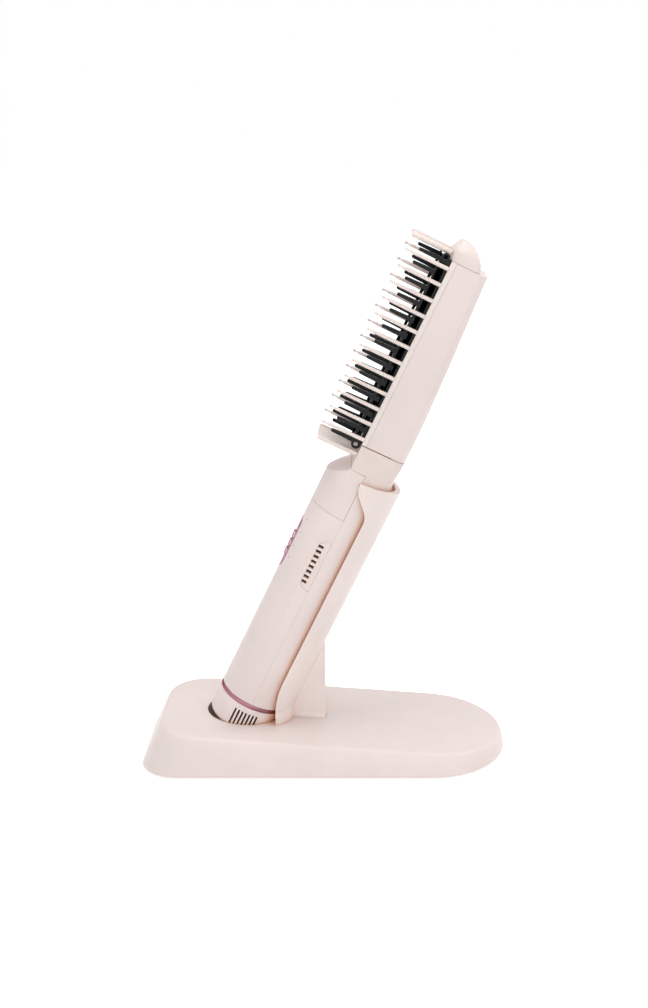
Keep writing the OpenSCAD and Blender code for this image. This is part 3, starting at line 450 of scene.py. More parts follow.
def closed_lathe(name, profile, steps):
    """Spins a closed profile that doesn't touch the axis, such as a ring's."""
    mesh = lathe(name, profile + profile[:1], steps)
    return object_from(name, face_outwards(mesh, MM_MERGE / 10))


def rod(name, r, z0, z1, steps):
    return object_from(name, lathe(name, [(0, z0), (r, z0), (r, z1), (0, z1)], steps))


def fillet(cx, cy, r, start, end, steps=5):
    """Points of an arc, to round a profile's corner."""
    turns = [math.radians(start + (end - start) * i / steps) for i in range(steps + 1)]
    return [(cx + r * math.cos(t), cy + r * math.sin(t)) for t in turns]

# %% [markdown]
# ## Lofted forms
# The buttons, the tip cap and the neck block are lofts: outlines with the same number of points,
# bridged like the rings of the lathe and closed at both ends. A box and a prism have so few
# faces that these are listed directly.

# %% Loft helpers
def loft(name, rings):
    """Bridges rings of equal length and closes both ends."""
    points = [point for ring in rings for point in ring]
    count = len(rings[0])
    faces = [(k * count + i, k * count + (i + 1) % count, (k + 1) * count + (i + 1) % count,
              (k + 1) * count + i) for k in range(len(rings) - 1) for i in range(count)]
    faces.append(tuple(range(count - 1, -1, -1)))
    faces.append(tuple(range((len(rings) - 1) * count, len(rings) * count)))
    return object_from(name, face_outwards(mesh_from(name, points, faces)))


def block(name, low, high):
    (x0, y0, z0), (x1, y1, z1) = low, high
    points = [(x0, y0, z0), (x1, y0, z0), (x1, y1, z0), (x0, y1, z0),
              (x0, y0, z1), (x1, y0, z1), (x1, y1, z1), (x0, y1, z1)]
    faces = [(0, 3, 2, 1), (4, 5, 6, 7), (0, 1, 5, 4), (1, 2, 6, 5), (2, 3, 7, 6), (3, 0, 4, 7)]
    return object_from(name, mesh_from(name, points, faces))


def extruded(name, outline, y0, y1):
    """Prism of an outline in the brush's X and Z, from y0 to y1."""
    count = len(outline)
    points = [(x, y, z) for y in (y0, y1) for x, z in outline]
    faces = [tuple(range(count)), tuple(range(2 * count - 1, count - 1, -1))]
    faces += [(i, i + count, (i + 1) % count + count, (i + 1) % count) for i in range(count)]
    return object_from(name, face_outwards(mesh_from(name, points, faces)))

# %% [markdown]
# ## Trim ring
# The ring above the end cap is turned from a closed profile. A metal film shows every edge, so
# the two outer corners are arcs in the profile, and no bevel is needed.

# %% Trim ring
CAP_LEN, RING_W, RING_EDGE = 14.2, 2.2, 0.35
RING_LOW = CAP_LEN + SEAM
RING_HIGH = RING_LOW + RING_W
ring_profile = (fillet(HANDLE_R - RING_EDGE, RING_LOW + RING_EDGE, RING_EDGE, -90, 0)
                + fillet(HANDLE_R - RING_EDGE, RING_HIGH - RING_EDGE, RING_EDGE, 0, 90)
                + [(SHELL_IN_R, RING_HIGH), (SHELL_IN_R, RING_LOW)])
ring = closed_lathe("trim_band", ring_profile, 96)
finish_piece(bake(ring, BRUSH), rose_metal, 40, "trim_ring")
print("trim ring %.1f mm wide" % (RING_HIGH - RING_LOW))

# %% [markdown]
# ## Trees that put a shape on points
# The brush repeats many things in straight rows: pins, teeth, slits and vent notches. Screws and
# feet sit at a few places that follow no line. Both jobs are one kind of Geometry Nodes tree: it
# puts an instance of a shape object on each point. Instances are made real and get their
# material at the end, because an export keeps only real meshes. The sizes are named inputs, so
# that a row can be changed without opening its tree. In a row each shape is turned a touch at
# random with a fixed seed; the places tree takes its points from the mesh that it is given.

# %% Row tree and places tree
def shape_tree(name, inputs, lay_out):
    """Tree whose points, and the turn of each, come from lay_out."""
    tree = bpy.data.node_groups.new(name, "GeometryNodeTree")
    for label, kind in inputs + [("Shape", "Object"), ("Material", "Material")]:
        tree.interface.new_socket(label, in_out="INPUT", socket_type="NodeSocket" + kind)
    tree.interface.new_socket("Geometry", in_out="OUTPUT", socket_type="NodeSocketGeometry")
    given = node(tree, "NodeGroupInput").outputs
    points, turn = lay_out(tree, given)
    shape = node(tree, "GeometryNodeObjectInfo", Object=given["Shape"]).outputs["Geometry"]
    put = node(tree, "GeometryNodeInstanceOnPoints", Points=points, Instance=shape, Rotation=turn)
    real = node(tree, "GeometryNodeRealizeInstances", Geometry=put.outputs["Instances"])
    paint = node(tree, "GeometryNodeSetMaterial", Geometry=real.outputs["Geometry"],
                 Material=given["Material"])
    node(tree, "NodeGroupOutput", Geometry=paint.outputs["Geometry"])
    return tree


def in_a_row(tree, given):
    line = node(tree, "GeometryNodeMeshLine", {"mode": "OFFSET"}, Count=given["Count"],
                Start_Location=given["First"], Offset=given["Step"])
    back = math_node(tree, "MULTIPLY", given["Wobble"], -1.0)
    low = node(tree, "ShaderNodeCombineXYZ", X=0.0, Y=back, Z=back)
    high = node(tree, "ShaderNodeCombineXYZ", X=0.0, Y=given["Wobble"], Z=given["Wobble"])
    turn = node(tree, "FunctionNodeRandomValue", {"data_type": "FLOAT_VECTOR"},
                i0=low.outputs[0], i1=high.outputs[0], Seed=given["Seed"])
    return line.outputs["Mesh"], turn.outputs[0]


def at_given_points(tree, given):
    return given["Geometry"], given["Turn"]


ROW = shape_tree("repeat_in_a_row", [("Count", "Int"), ("First", "Vector"), ("Step", "Vector"),
                                     ("Wobble", "Float"), ("Seed", "Int")], in_a_row)
PLACES = shape_tree("shape_at_places", [("Geometry", "Geometry"), ("Turn", "Rotation")],
                    at_given_points)
print("trees:", ROW.name, "and", PLACES.name)


def run_tree(name, tree, values, points=()):
    """Runs a tree on the points, with values by input name, and returns the plain result."""
    made = object_from(name, mesh_from(name, points, []))
    modifier = made.modifiers.new("nodes", "NODES")
    modifier.node_group = tree
    keys = {item.name: item.identifier for item in tree.interface.items_tree
            if item.in_out == "INPUT"}
    for label, value in values.items():
        modifier[keys[label]] = value
    return bake(made)


def row(name, shape, count, first, step, material=None, wobble=0.0, seed=3):
    made = run_tree(name, ROW, {"Shape": shape, "Count": count, "First": first, "Step": step,
                                "Wobble": wobble, "Seed": seed, "Material": material})
    print("%s: %d shapes, %d faces" % (name, count, len(made.data.polygons)))
    return made

# %% [markdown]
# ## Tongue in the parting line
# The front and the rear shell meet along both sides of the handle. An open gap there would draw
# a black line, but on the real handle the line is hardly seen, because a tongue on one shell
# fills the joint to just under the surface. Two thin strips do that here.

# %% Parting line tongues
TONGUE_IN, TONGUE_OUT, TONGUE_HALF = 16.2, HANDLE_R - 0.05, 0.06
COLLAR_Z, NECK_Z = 125.6, 150.5


def tongue_section(side, z):
    corners = ((TONGUE_IN, -TONGUE_HALF), (TONGUE_IN, TONGUE_HALF),
               (TONGUE_OUT, TONGUE_HALF), (TONGUE_OUT, -TONGUE_HALF))
    return [(x, side * math.sqrt(r * r - x * x), z) for r, x in corners]


for side, name in ((1, "tongue_near"), (-1, "tongue_far")):
    tongue = loft(name, [tongue_section(side, z) for z in (RING_HIGH + SEAM, COLLAR_Z - 0.1)])
    tongue.data.materials.append(shell_pink)
    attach(bake(tongue, BRUSH), "brush")
print("2 tongues under the parting line")

# %% [markdown]
# ## End cap with its slits
# The lowest part of the handle is a cup-shaped cap with a row of upright slits on each side,
# which let warm air out. The cap is turned, and a row of bars made by the tree is cut out of it
# with a Boolean. The Exact solver is the right one for such clean cuts. Two stepped seats for
# the charging contacts are cut into its floor.

# %% End cap
def combine(made, other, operation):
    """Boolean of two objects; the second one is used up."""
    boolean = made.modifiers.new(operation.lower(), "BOOLEAN")
    boolean.operation = operation
    boolean.solver = "EXACT"
    boolean.object = other
    bake(made)
    bpy.data.objects.remove(other)
    return made


CUT_REACH = 30
CAP_ROUND, CAP_LIP, CAP_FLOOR = 2, 0.15, 2.4
SPIGOT_R, SPIGOT_END = SHELL_IN_R - FIT, CAP_LEN + 9
SPIGOT_IN_R = SPIGOT_R - 1.5
SLITS, SLIT_PITCH, SLIT_W, SLIT_FRONT, SLIT_LOW, SLIT_HIGH = 7, 1.92, 1.0, 6.3, 0.8, 11.2
SLIT_IN_R = 14.5
CONTACT_Y, CONTACT_HEAD_R, CONTACT_STEM_R, CONTACT_SEAT = 3.5, 2.05, 1.05, 0.85

cap_profile = ([(0, 0)] + fillet(HANDLE_R - CAP_ROUND, CAP_ROUND, CAP_ROUND, -90, 0, 8)
               + fillet(HANDLE_R - CAP_LIP, CAP_LEN - CAP_LIP, CAP_LIP, 0, 90, 2)
               + [(SPIGOT_R, CAP_LEN), (SPIGOT_R, SPIGOT_END), (SPIGOT_IN_R, SPIGOT_END),
                  (SPIGOT_IN_R, CAP_LEN - 1), (SHELL_IN_R, CAP_LEN - 3), (SHELL_IN_R, CAP_FLOOR),
                  (0, CAP_FLOOR)])
cap = object_from("end_cap_shell", lathe("end_cap_shell", cap_profile, 96))
for side in (-1, 1):
    y0, y1 = sorted((0, side * CUT_REACH))
    bar = block("slit_bar", (-SLIT_W / 2, y0, SLIT_LOW), (SLIT_W / 2, y1, SLIT_HIGH))
    bars = row("slit_bars", bar, SLITS, (SLIT_FRONT, 0, 0), (-SLIT_PITCH, 0, 0))
    combine(bars, rod("inner", SLIT_IN_R, -1, CUT_REACH, 48), "DIFFERENCE")
    combine(cap, bars, "DIFFERENCE")
    bpy.data.objects.remove(bar)
for side in (-1, 1):
    seat = object_from("seat", lathe("seat", [
        (0, -1), (CONTACT_HEAD_R, -1), (CONTACT_HEAD_R, CONTACT_SEAT),
        (CONTACT_STEM_R, CONTACT_SEAT), (CONTACT_STEM_R, 5), (0, 5)], 24))
    seat.data.transform(Matrix.Translation((0, side * CONTACT_Y, 0)))
    combine(cap, seat, "DIFFERENCE")
merge_flats(cap.data)
soften(cap, 0.12, angle=34)
finish_piece(bake(cap, BRUSH), shell_pink, 34, "end_cap")
print("end cap with %d slits on each side" % SLITS)

# %% [markdown]
# ## Side vents
# A small insert sits flush in each side of the front shell. Its front edge is notched like a
# castle wall, and the notches are the air slots. The insert is a slice of a tube: a turned tube
# is cut to the insert's outline, and the row tree then makes the bars that notch it.

# %% Side vent inserts
VENT_Z, VENT_LEN, VENT_H, VENT_CORNER, SNUG = 98.6, 27.5, 5.4, 4, 0.08
VENT_OUT_R, VENT_IN_R, TUBE_LOW, TUBE_HIGH = 17.4, 14.9, 80, 118
NOTCHES, NOTCH_PITCH, NOTCH_W, NOTCH_DEEP = 8, 2.86, 1.5, 2.6

half = VENT_LEN / 2
corner_x, corner_r = VENT_H - VENT_CORNER, VENT_CORNER + SNUG
vent_outline = ([(SNUG, VENT_Z - half - SNUG)]
                + fillet(corner_x, VENT_Z - half + VENT_CORNER, corner_r, -90, 0, 8)
                + fillet(corner_x, VENT_Z + half - VENT_CORNER, corner_r, 0, 90, 8)
                + [(SNUG, VENT_Z + half + SNUG)])
first_notch = VENT_Z - NOTCH_PITCH * (NOTCHES - 1) / 2
for side, cad_node in ((1, "side_vent_near"), (-1, "side_vent_far")):
    insert = closed_lathe("vent_" + cad_node.split("_")[-1],
                          [(VENT_OUT_R, TUBE_LOW), (VENT_OUT_R, TUBE_HIGH),
                           (VENT_IN_R, TUBE_HIGH), (VENT_IN_R, TUBE_LOW)], 128)
    combine(insert, extruded("cutter", vent_outline, *sorted((0, side * CUT_REACH))), "INTERSECT")
    bar = block("notch", (0, -CUT_REACH, -NOTCH_W / 2), (8, CUT_REACH, NOTCH_W / 2))
    notches = row("notches", bar, NOTCHES, (VENT_H - NOTCH_DEEP, 0, first_notch),
                  (0, 0, NOTCH_PITCH))
    combine(insert, notches, "DIFFERENCE")
    bpy.data.objects.remove(bar)
    merge_flats(insert.data)
    soften(insert, 0.06, angle=34)
    finish_piece(bake(insert, BRUSH), shell_pink, 34, cad_node)

# %% [markdown]
# ## Buttons
# The three buttons are short pills with a gently curved face that stands a little proud of the
# panel. Each is its own piece, because each one is pressed by itself. The pill is lofted from
# rings that shrink towards the top, which rounds the rim, and each ring follows the curve of
# the handle. The foot is as high as the solid's, so that a pressed button stays clear of the
# board under it.

# %% Buttons
BUTTON_Z, BUTTON_PITCH, BUTTON_W, BUTTON_LEN = 99, 4.8, 7.0, 3.6
BUTTON_FOOT, BUTTON_TOP = 13.8, HANDLE_R + 0.8
RIM_STEPS = ((0, 0.6), (0.08, 0.32), (0.25, 0.12), (0.5, 0.02), (0.9, 0), (1.4, 0))


def pill_ring(inset, steps=12):
    """Outline of a pill across the handle, drawn in by the inset, as (y, z) points."""
    r = BUTTON_LEN / 2 - inset
    reach = (BUTTON_W - BUTTON_LEN) / 2
    points = []
    for side in (1, -1):
        for i in range(steps + 1):
            turn = math.radians(-90 * side + 180 * i / steps)
            points.append((side * reach + r * math.cos(turn), r * math.sin(turn)))
    return points


for cad_node, place in (("power_button", -1), ("cooler_button", 0), ("warmer_button", 1)):
    z = BUTTON_Z + place * BUTTON_PITCH
    rings = [[(BUTTON_FOOT, y, z + h) for y, h in pill_ring(0)]]
    for inset, drop in RIM_STEPS:
        r = BUTTON_TOP - drop
        rings.append([(math.sqrt(r * r - y * y), y, z + h) for y, h in pill_ring(inset)])
    key = loft(cad_node.replace("button", "key"), rings)
    finish_piece(bake(key, BRUSH), button_metal, 50, cad_node)
print("3 buttons, %.1f x %.1f mm" % (BUTTON_W, BUTTON_LEN))

# %% [markdown]
# ## Tip cap
# The top of the head is a domed cap with a flat front that slopes back. Its form follows a
# rule, so it is lofted: at each height a rounded rectangle is drawn whose back comes forward
# like a quarter of a rounded square, and whose front leans back above a short flat. The levels
# follow a sine, which puts them closer together where the dome flattens.

# %% Tip cap
HEAD_FRONT, HEAD_HALF, TIP_Z, TIP_LEN = 8.0, 13.0, 260.5, 10.0
TIP_CROWN, TIP_REACH, TIP_POWER, TIP_FLAT, TIP_SLOPE = 3.6, 9.8, 1.7, 5.5, 0.5
TIP_FRONT = HEAD_FRONT + 1.4
FRONT_CORNER, BACK_CORNER = 6, 2.8
LEVELS = 26
GUARD_SLOT_HALF_W, GUARD_SLOT_HALF_T = 4.1, 0.8


def head_section(front, back, half_w, r_front, r_back, z, steps=8):
    corners = [(front - r_front, half_w - r_front, r_front, 0),
               (back + r_back, half_w - r_back, r_back, 90),
               (back + r_back, r_back - half_w, r_back, 180),
               (front - r_front, r_front - half_w, r_front, 270)]
    return [(x, y, z) for cx, cy, r, start in corners
            for x, y in fillet(cx, cy, r, start, start + 90, steps)]


def guard_slot(z, back):
    """Cutter for the slot that the root of a guard sits in."""
    return block("slot", (back, -GUARD_SLOT_HALF_W, z - GUARD_SLOT_HALF_T),
                 (20, GUARD_SLOT_HALF_W, z + GUARD_SLOT_HALF_T))


rings = []
tip_low = TIP_Z + SEAM / 2
for i in range(LEVELS + 1):
    t = 0.992 * math.sin(math.pi / 2 * i / LEVELS)
    z = tip_low + TIP_LEN * t
    back = TIP_CROWN - TIP_REACH * (1 - t ** TIP_POWER) ** (1 / TIP_POWER)
    front = TIP_FRONT - TIP_SLOPE * max(0, z - tip_low - TIP_FLAT)
    half_w = HEAD_HALF - 5 * t ** 3 - 2 * t ** 10
    deep = front - back
    rings.append(head_section(front, back, half_w, min(FRONT_CORNER, 0.6 * deep),
                              min(BACK_CORNER, 0.4 * deep), z))
tip = loft("tip_dome", rings)
combine(tip, guard_slot(TIP_Z + 2.9, 6.8), "DIFFERENCE")
merge_flats(tip.data, angle=0.1)
soften(tip, 0.15, angle=40)
finish_piece(bake(tip, BRUSH), shell_pink, 40, "tip_cap")
print("tip cap: %d levels" % LEVELS)

# %% [markdown]
# ## Neck cover
# The front half of the neck is a cover with a sloping shoulder that ends in a step below the
# pins. It is cut from a finely turned cylinder, so that no facets show on it. The outer rim of
# the shoulder is rounded more than the other edges: it gets a bevel weight and a bevel of its
# own, before the hollow is cut out and the rest is softened.

# %% Neck cover
COVER_LOW, COVER_TOP, COVER_WALL, COVER_ROOF = COLLAR_Z + SEAM / 2, NECK_Z - SEAM / 2, 2, 2.3
COVER_STEP_X, COVER_STEP_Z, ABOVE_COVER = 8.25, 149.2, 152
SLOPE, SLOPE_END = 6.8 / 9.25, (30, 133.21)
RIM_FRONT, RIM_LOW, RIM_RISE = 8.2, 141, 2


def under_shoulder(name, x0, z0, drop, back):
    """Prism of everything under the shoulder, sunk by drop, with its step moved back."""
    far_x, far_z = SLOPE_END
    step = (COVER_STEP_X - back, COVER_STEP_Z - drop + back * SLOPE)
    return extruded(name, [(x0, z0), (far_x, z0), (far_x, far_z - drop), step,
                           (step[0], ABOVE_COVER), (x0, ABOVE_COVER)], -CUT_REACH, CUT_REACH)


def on_shoulder_rim(a, b):
    """True for an edge of the shoulder's outer rim, in front of the step."""
    outside = min(math.hypot(a.x, a.y), math.hypot(b.x, b.y)) > HANDLE_R - 0.1
    in_front = min(a.x, b.x) > RIM_FRONT
    return outside and in_front and min(a.z, b.z) > RIM_LOW and abs(a.z - b.z) < RIM_RISE


cover = rod("neck_front", HANDLE_R, COVER_LOW, COVER_TOP, 192)
combine(cover, under_shoulder("outside", SEAM / 2, 120, 0, 0), "INTERSECT")
weight = cover.data.attributes.new("bevel_weight_edge", "FLOAT", "EDGE")
rim = [each for each in cover.data.edges
       if on_shoulder_rim(*(cover.data.vertices[i].co for i in each.vertices))]
for each in rim:
    weight.data[each.index].value = 1
rounded = len(rim)
broad = cover.modifiers.new("broad", "BEVEL")
broad.limit_method = "WEIGHT"
broad.width = 3.2
broad.segments = 8
bake(cover)
hollow = rod("hollow", HANDLE_R - COVER_WALL, 119, 160, 96)
combine(hollow, under_shoulder("inside", -5, 118, COVER_ROOF, COVER_WALL), "INTERSECT")
combine(cover, hollow, "DIFFERENCE")
soften(cover, 0.08, angle=34)
finish_piece(bake(cover, BRUSH), shell_pink, 34, "neck_cover")
print("neck cover: %d edges of its rim rounded, %d faces" % (rounded, len(cover.data.polygons)))

# %% [markdown]
# ## Neck block
# The block above the handle turns its round form into the flat-sided head in one hollow sweep.
# Hard steps would show in such a soft form, so it is lofted from two outlines with the same
# number of points, one round and one flat-sided. Each ring in between is a mix, in which the
# round one fades with the square of the way that is left.

# %% Outlines of the neck block
HEAD_Z, GROOVE, HEAD_BACK, HEAD_CORNER = 162.7, 0.5, 15.2, 5
NECK_FRONT, NECK_BACK, SWEEP, SWEEP_STEPS = 7.8, 15.7, 7.6, 14
NECK_LOW, NECK_HIGH = NECK_Z + SEAM / 2, HEAD_Z - GROOVE / 2
BEHIND = ((144.575, HANDLE_R), (145.3, 17.0), (146.8, 16.0), (148.5, 15.78),
          (NECK_LOW + 0.3, NECK_BACK))
SPIGOT_BOX = ((-SPIGOT_R - 0.01, -SPIGOT_R - 0.01, 130),
              (SPIGOT_R + 0.01, SPIGOT_R + 0.01, NECK_Z - 0.4))
TENON_BOX = ((-12, -9, NECK_HIGH - 0.5), (4, 9, 170))
WIRE_HOLE_R, LOW_GUARD_Z = 4.5, HEAD_Z - 5.5


def flat_sided(back, count=36):
    """Half outline of the head from its front edge round to the middle of its back."""
    corner = HEAD_CORNER * math.pi / 2
    side, rear = NECK_FRONT + back - HEAD_CORNER, HEAD_HALF - HEAD_CORNER
    points = []
    for i in range(count + 1):
        way = (side + corner + rear) * i / count
        if way < side:
            points.append((NECK_FRONT - way, HEAD_HALF))
        elif way < side + corner:
            turn = (way - side) / HEAD_CORNER
            points.append((HEAD_CORNER - back - HEAD_CORNER * math.sin(turn),
                           HEAD_HALF - HEAD_CORNER + HEAD_CORNER * math.cos(turn)))
        else:
            points.append((-back, rear - (way - side - corner)))
    return points


def round_outline(back, start, count=36):
    """Half outline of the handle from the angle start to its back, flattened behind the axis."""
    turns = [math.radians(start + (180 - start) * i / count) for i in range(count + 1)]
    return [((HANDLE_R if math.cos(t) > 0 else back) * math.cos(t), HANDLE_R * math.sin(t))
            for t in turns]


def mirrored(half, z):
    return [(x, y, z) for x, y in half[:-1]] + [(half[-1][0], 0, z)] + [
        (x, -y, z) for x, y in half[-2::-1]]


def drawn_in(x, y):
    """A point of the head's outline for the lip: a hair further in at the back, 2 mm elsewhere."""
    if x < -9:
        return x + 0.06, y * 0.995
    return (x - 2 if x > 0 else x + 2), y - 2


head_outline = flat_sided(HEAD_BACK)
handle_outline = round_outline(NECK_BACK, math.degrees(math.acos(NECK_FRONT / HANDLE_R)))
print("neck outlines: %d and %d points" % (len(handle_outline), len(head_outline)))

# %% [markdown]
# ## Joining the neck block
# The back half of the block goes on below the seam of the front half, and a lip closes the
# groove under the head. Both are lofts too. The hidden spigot and tenon are taken from the CAD
# solid, which already fits its neighbours. Unions join them all, and the hole for the wires and
# the slot for the lower guard are cut out last.

# %% Neck block
rings = []
for i in range(SWEEP_STEPS + 1):
    left = (1 - i / SWEEP_STEPS) ** 2
    half = [(a * left + c * (1 - left), b * left + d * (1 - left))
            for (a, b), (c, d) in zip(handle_outline, head_outline)]
    rings.append(mirrored(half, NECK_LOW + SWEEP * i / SWEEP_STEPS))
rings.append(mirrored(head_outline, NECK_HIGH))
neck = loft("neck_block", rings)
behind = [mirrored([(min(x, -SEAM / 2), y) for x, y in round_outline(back, 90)], z)
          for z, back in BEHIND]
combine(neck, loft("neck_behind", behind), "UNION")
lip = [mirrored([drawn_in(x, y) for x, y in head_outline], z)
       for z in (NECK_HIGH - 0.3, NECK_HIGH + 0.44)]
combine(neck, loft("neck_lip", lip), "UNION")
for low, high in (SPIGOT_BOX, TENON_BOX):
    hidden = object_from("hidden", frame["nodes"]["neck_yoke"].data.copy())
    hidden.data.transform(BRUSH.inverted())
    merge_flats(hidden.data)
    combine(hidden, block("keep", low, high), "INTERSECT")
    combine(neck, hidden, "UNION")
combine(neck, rod("wire_hole", WIRE_HOLE_R, 140, 175, 32), "DIFFERENCE")
combine(neck, guard_slot(LOW_GUARD_Z, 5), "DIFFERENCE")
merge_flats(neck.data, angle=0.2)
soften(neck, 0.12, angle=40)
# The neck gets the darker copy of the shell plastic, as painted shade.
finish_piece(bake(neck, BRUSH), neck_pink_painted_shade, 40, "neck_yoke")
print("neck block: %d faces" % len(neck.data.polygons))

# %% [markdown]
# ## Rails with their pins
# A rail runs along each long edge of the head and carries twelve pale pins. Each pin tapers to
# a shoulder, goes on as a thin neck and ends in a small bead that glides over the scalp. One
# pin is turned, and the row tree repeats it along the rail with a turn of a fraction of a
# degree, as moulded pins have.

# %% Pin rails
PINS, PIN_LEN, BEAD_NECK, PIN_R, BEAD_R = 12, 22.3, 3.4, 1.0, 0.75
PIN_LOW, PIN_HIGH = HEAD_Z + 2.7, TIP_Z - 4.1
PIN_PITCH = (PIN_HIGH - PIN_LOW) / (PINS - 1)
RAIL_BACK, RAIL_W = 5.4, 2
shoulder = PIN_LEN - BEAD_NECK
neck_r = 0.6 * BEAD_R
pin_profile = ([(0, -0.2), (PIN_R + 0.25, -0.2), (PIN_R + 0.25, 0.02), (PIN_R + 0.08, 0.16),
                (PIN_R, 0.4), (PIN_R - 0.2, shoulder - 0.25), (PIN_R - 0.26, shoulder),
                (neck_r + 0.12, shoulder + BEAD_R * 0.85), (neck_r, shoulder + BEAD_R * 1.3),
                (neck_r, PIN_LEN - 2 * BEAD_R + 0.14)]
               + fillet(0, PIN_LEN - BEAD_R, BEAD_R, -50, 84, 9) + [(0, PIN_LEN)])
pin = object_from("pin", lathe("pin", pin_profile, 20, "X"))
for side, cad_node in ((1, "pin_rail_near"), (-1, "pin_rail_far")):
    y = side * (HEAD_HALF - RAIL_W / 2)
    rail = block("pin_row_" + cad_node.split("_")[-1],
                 (RAIL_BACK, y - RAIL_W / 2, HEAD_Z + GROOVE / 2),
                 (HEAD_FRONT, y + RAIL_W / 2, TIP_Z - SEAM / 2))
    bake(soften(rail, 0.06))
    pins = row("pins", pin, PINS, (HEAD_FRONT, y, PIN_LOW), (0, 0, PIN_PITCH), pin_pink,
               wobble=0.004, seed=5 + side)
    work = bmesh.new()
    work.from_mesh(rail.data)
    work.from_mesh(pins.data)
    work.to_mesh(rail.data)
    work.free()
    bpy.data.objects.remove(pins)
    rail.data.transform(BRUSH)
    finish_piece(rail, pin_pink, 40, cad_node)
bpy.data.objects.remove(pin)

# %% [markdown]
# ## Comb strips
# Two dark metal strips stand on the heated plate, one beside each rail. Each is a flat blank: a
# base band, a bar along it with small windows between, a hanging loop at each end, and thirteen
# tapering teeth that stand between the pins. The teeth come from the row tree, the rest are flat
# outlines, and a Boolean union joins them before the edges are rounded like a tumbled stamping.

# %% Comb strips
STRIP_T, STRIP_SINK, TOOTH_LEN, TOOTH_ROOT, TOOTH_TIP, END_TOOTH = 1.4, 0.8, 16.4, 2.5, 1.5, 2.5
STRIP_LOW, STRIP_HIGH, PLATE_TOP = HEAD_Z + 0.6, TIP_Z - 0.4, HEAD_FRONT - 0.6
BAND, ARM_FOOT = HEAD_FRONT + 1.5, 8.1
BAR_IN, BAR_OUT = BAND + 2.6, BAND + 4.0
LOW_LOOP, LOW_R = (10.55, 161.65), 2.45
HIGH_LOOP, HIGH_R, LOOP_HOLE = (11.25, 260.7), 1.95, 1.15
LOW_HOLE = (LOW_LOOP[0] + 0.1, LOW_LOOP[1] - 0.25)


def disc(name, centre, r, y0, y1, steps=40):
    return extruded(name, fillet(*centre, r, 0, 360 - 360 / steps, steps - 1), y0, y1)


def plate(name, x0, x1, z0, z1, y0, y1):
    return extruded(name, [(x0, z0), (x1, z0), (x1, z1), (x0, z1)], y0, y1)


tooth_outline = ([(BAND - 0.4, -TOOTH_ROOT / 2)]
                 + fillet(HEAD_FRONT + TOOTH_LEN - TOOTH_TIP / 2, 0, TOOTH_TIP / 2, -88, 88, 10)
                 + [(BAND - 0.4, TOOTH_ROOT / 2)])
for side, cad_node in ((1, "comb_strip_near"), (-1, "comb_strip_far")):
    y_mid = side * (HEAD_HALF - RAIL_W - SEAM - STRIP_T / 2 - 0.2)
    y0, y1 = y_mid - STRIP_T / 2, y_mid + STRIP_T / 2
    strip = plate("comb_" + cad_node.split("_")[-1], PLATE_TOP - STRIP_SINK, BAND,
                  STRIP_LOW, STRIP_HIGH, y0, y1)
    tooth = extruded("tooth", tooth_outline, y0, y1)
    parts = [
        row("teeth", tooth, PINS - 1, (0, 0, PIN_LOW + PIN_PITCH / 2), (0, 0, PIN_PITCH)),
        row("end_teeth", tooth, 2, (0, 0, PIN_LOW - END_TOOTH),
            (0, 0, PIN_HIGH - PIN_LOW + 2 * END_TOOTH)),
        plate("bar", BAR_IN, BAR_OUT, PIN_LOW - END_TOOTH, PIN_HIGH + END_TOOTH, y0, y1),
        plate("low_arm", ARM_FOOT, BAND, LOW_LOOP[1], STRIP_LOW + 0.02, y0, y1),
        plate("high_arm", ARM_FOOT, HIGH_LOOP[0], STRIP_HIGH - HIGH_R, STRIP_HIGH, y0, y1),
        plate("high_neck", HIGH_LOOP[0] - HIGH_R, HIGH_LOOP[0] + HIGH_R, STRIP_HIGH - 0.02,
              HIGH_LOOP[1], y0, y1),
        disc("low_loop", LOW_LOOP, LOW_R, y0, y1),
        disc("high_loop", HIGH_LOOP, HIGH_R, y0, y1)]
    for part in parts:
        combine(strip, part, "UNION")
    for centre in (LOW_HOLE, HIGH_LOOP):
        combine(strip, disc("hole", centre, LOOP_HOLE, y0 - 1, y1 + 1), "DIFFERENCE")
    bpy.data.objects.remove(tooth)
    merge_flats(strip.data)
    soften(strip, 0.28, 3, 40)
    finish_piece(bake(strip, BRUSH), comb_coating, 40, cad_node)
    print("%s: %d teeth, %d faces" % (strip.name, PINS + 1, len(strip.data.polygons)))

# %% [markdown]
# ## Guards at both ends
# A guard closes each end of the pin rows: two round posts with a thin web between them, so that
# the hot teeth can't touch the skin. They are moulded in a slightly warmer and more translucent
# plastic than the shells, and their solids only need soft edges.

# %% Guards
dressed("guard_fin_top", "guard_top", guard_pink, 0.2, angle=34, smooth=40)
dressed("guard_fin_bottom", "guard_bottom", guard_pink, 0.2, angle=34, smooth=40)

# %% [markdown]
# ## Screws and feet
# Fasteners and feet sit at a few fixed places. The mesh that is given to the places tree holds
# only points, one for each place. The screw has a real cross recess, cut once in the shape
# before it is repeated.

# %% Screw and places helpers
def at_places(name, shape, places, material, matrix, cad_node, turn=(0, 0, 0)):
    made = run_tree(name, PLACES, {"Shape": shape, "Turn": turn, "Material": material}, places)
    bpy.data.objects.remove(shape)
    finish_piece(bake(made, matrix), material, 30, cad_node)
    print("%s at %d places" % (name, len(places)))


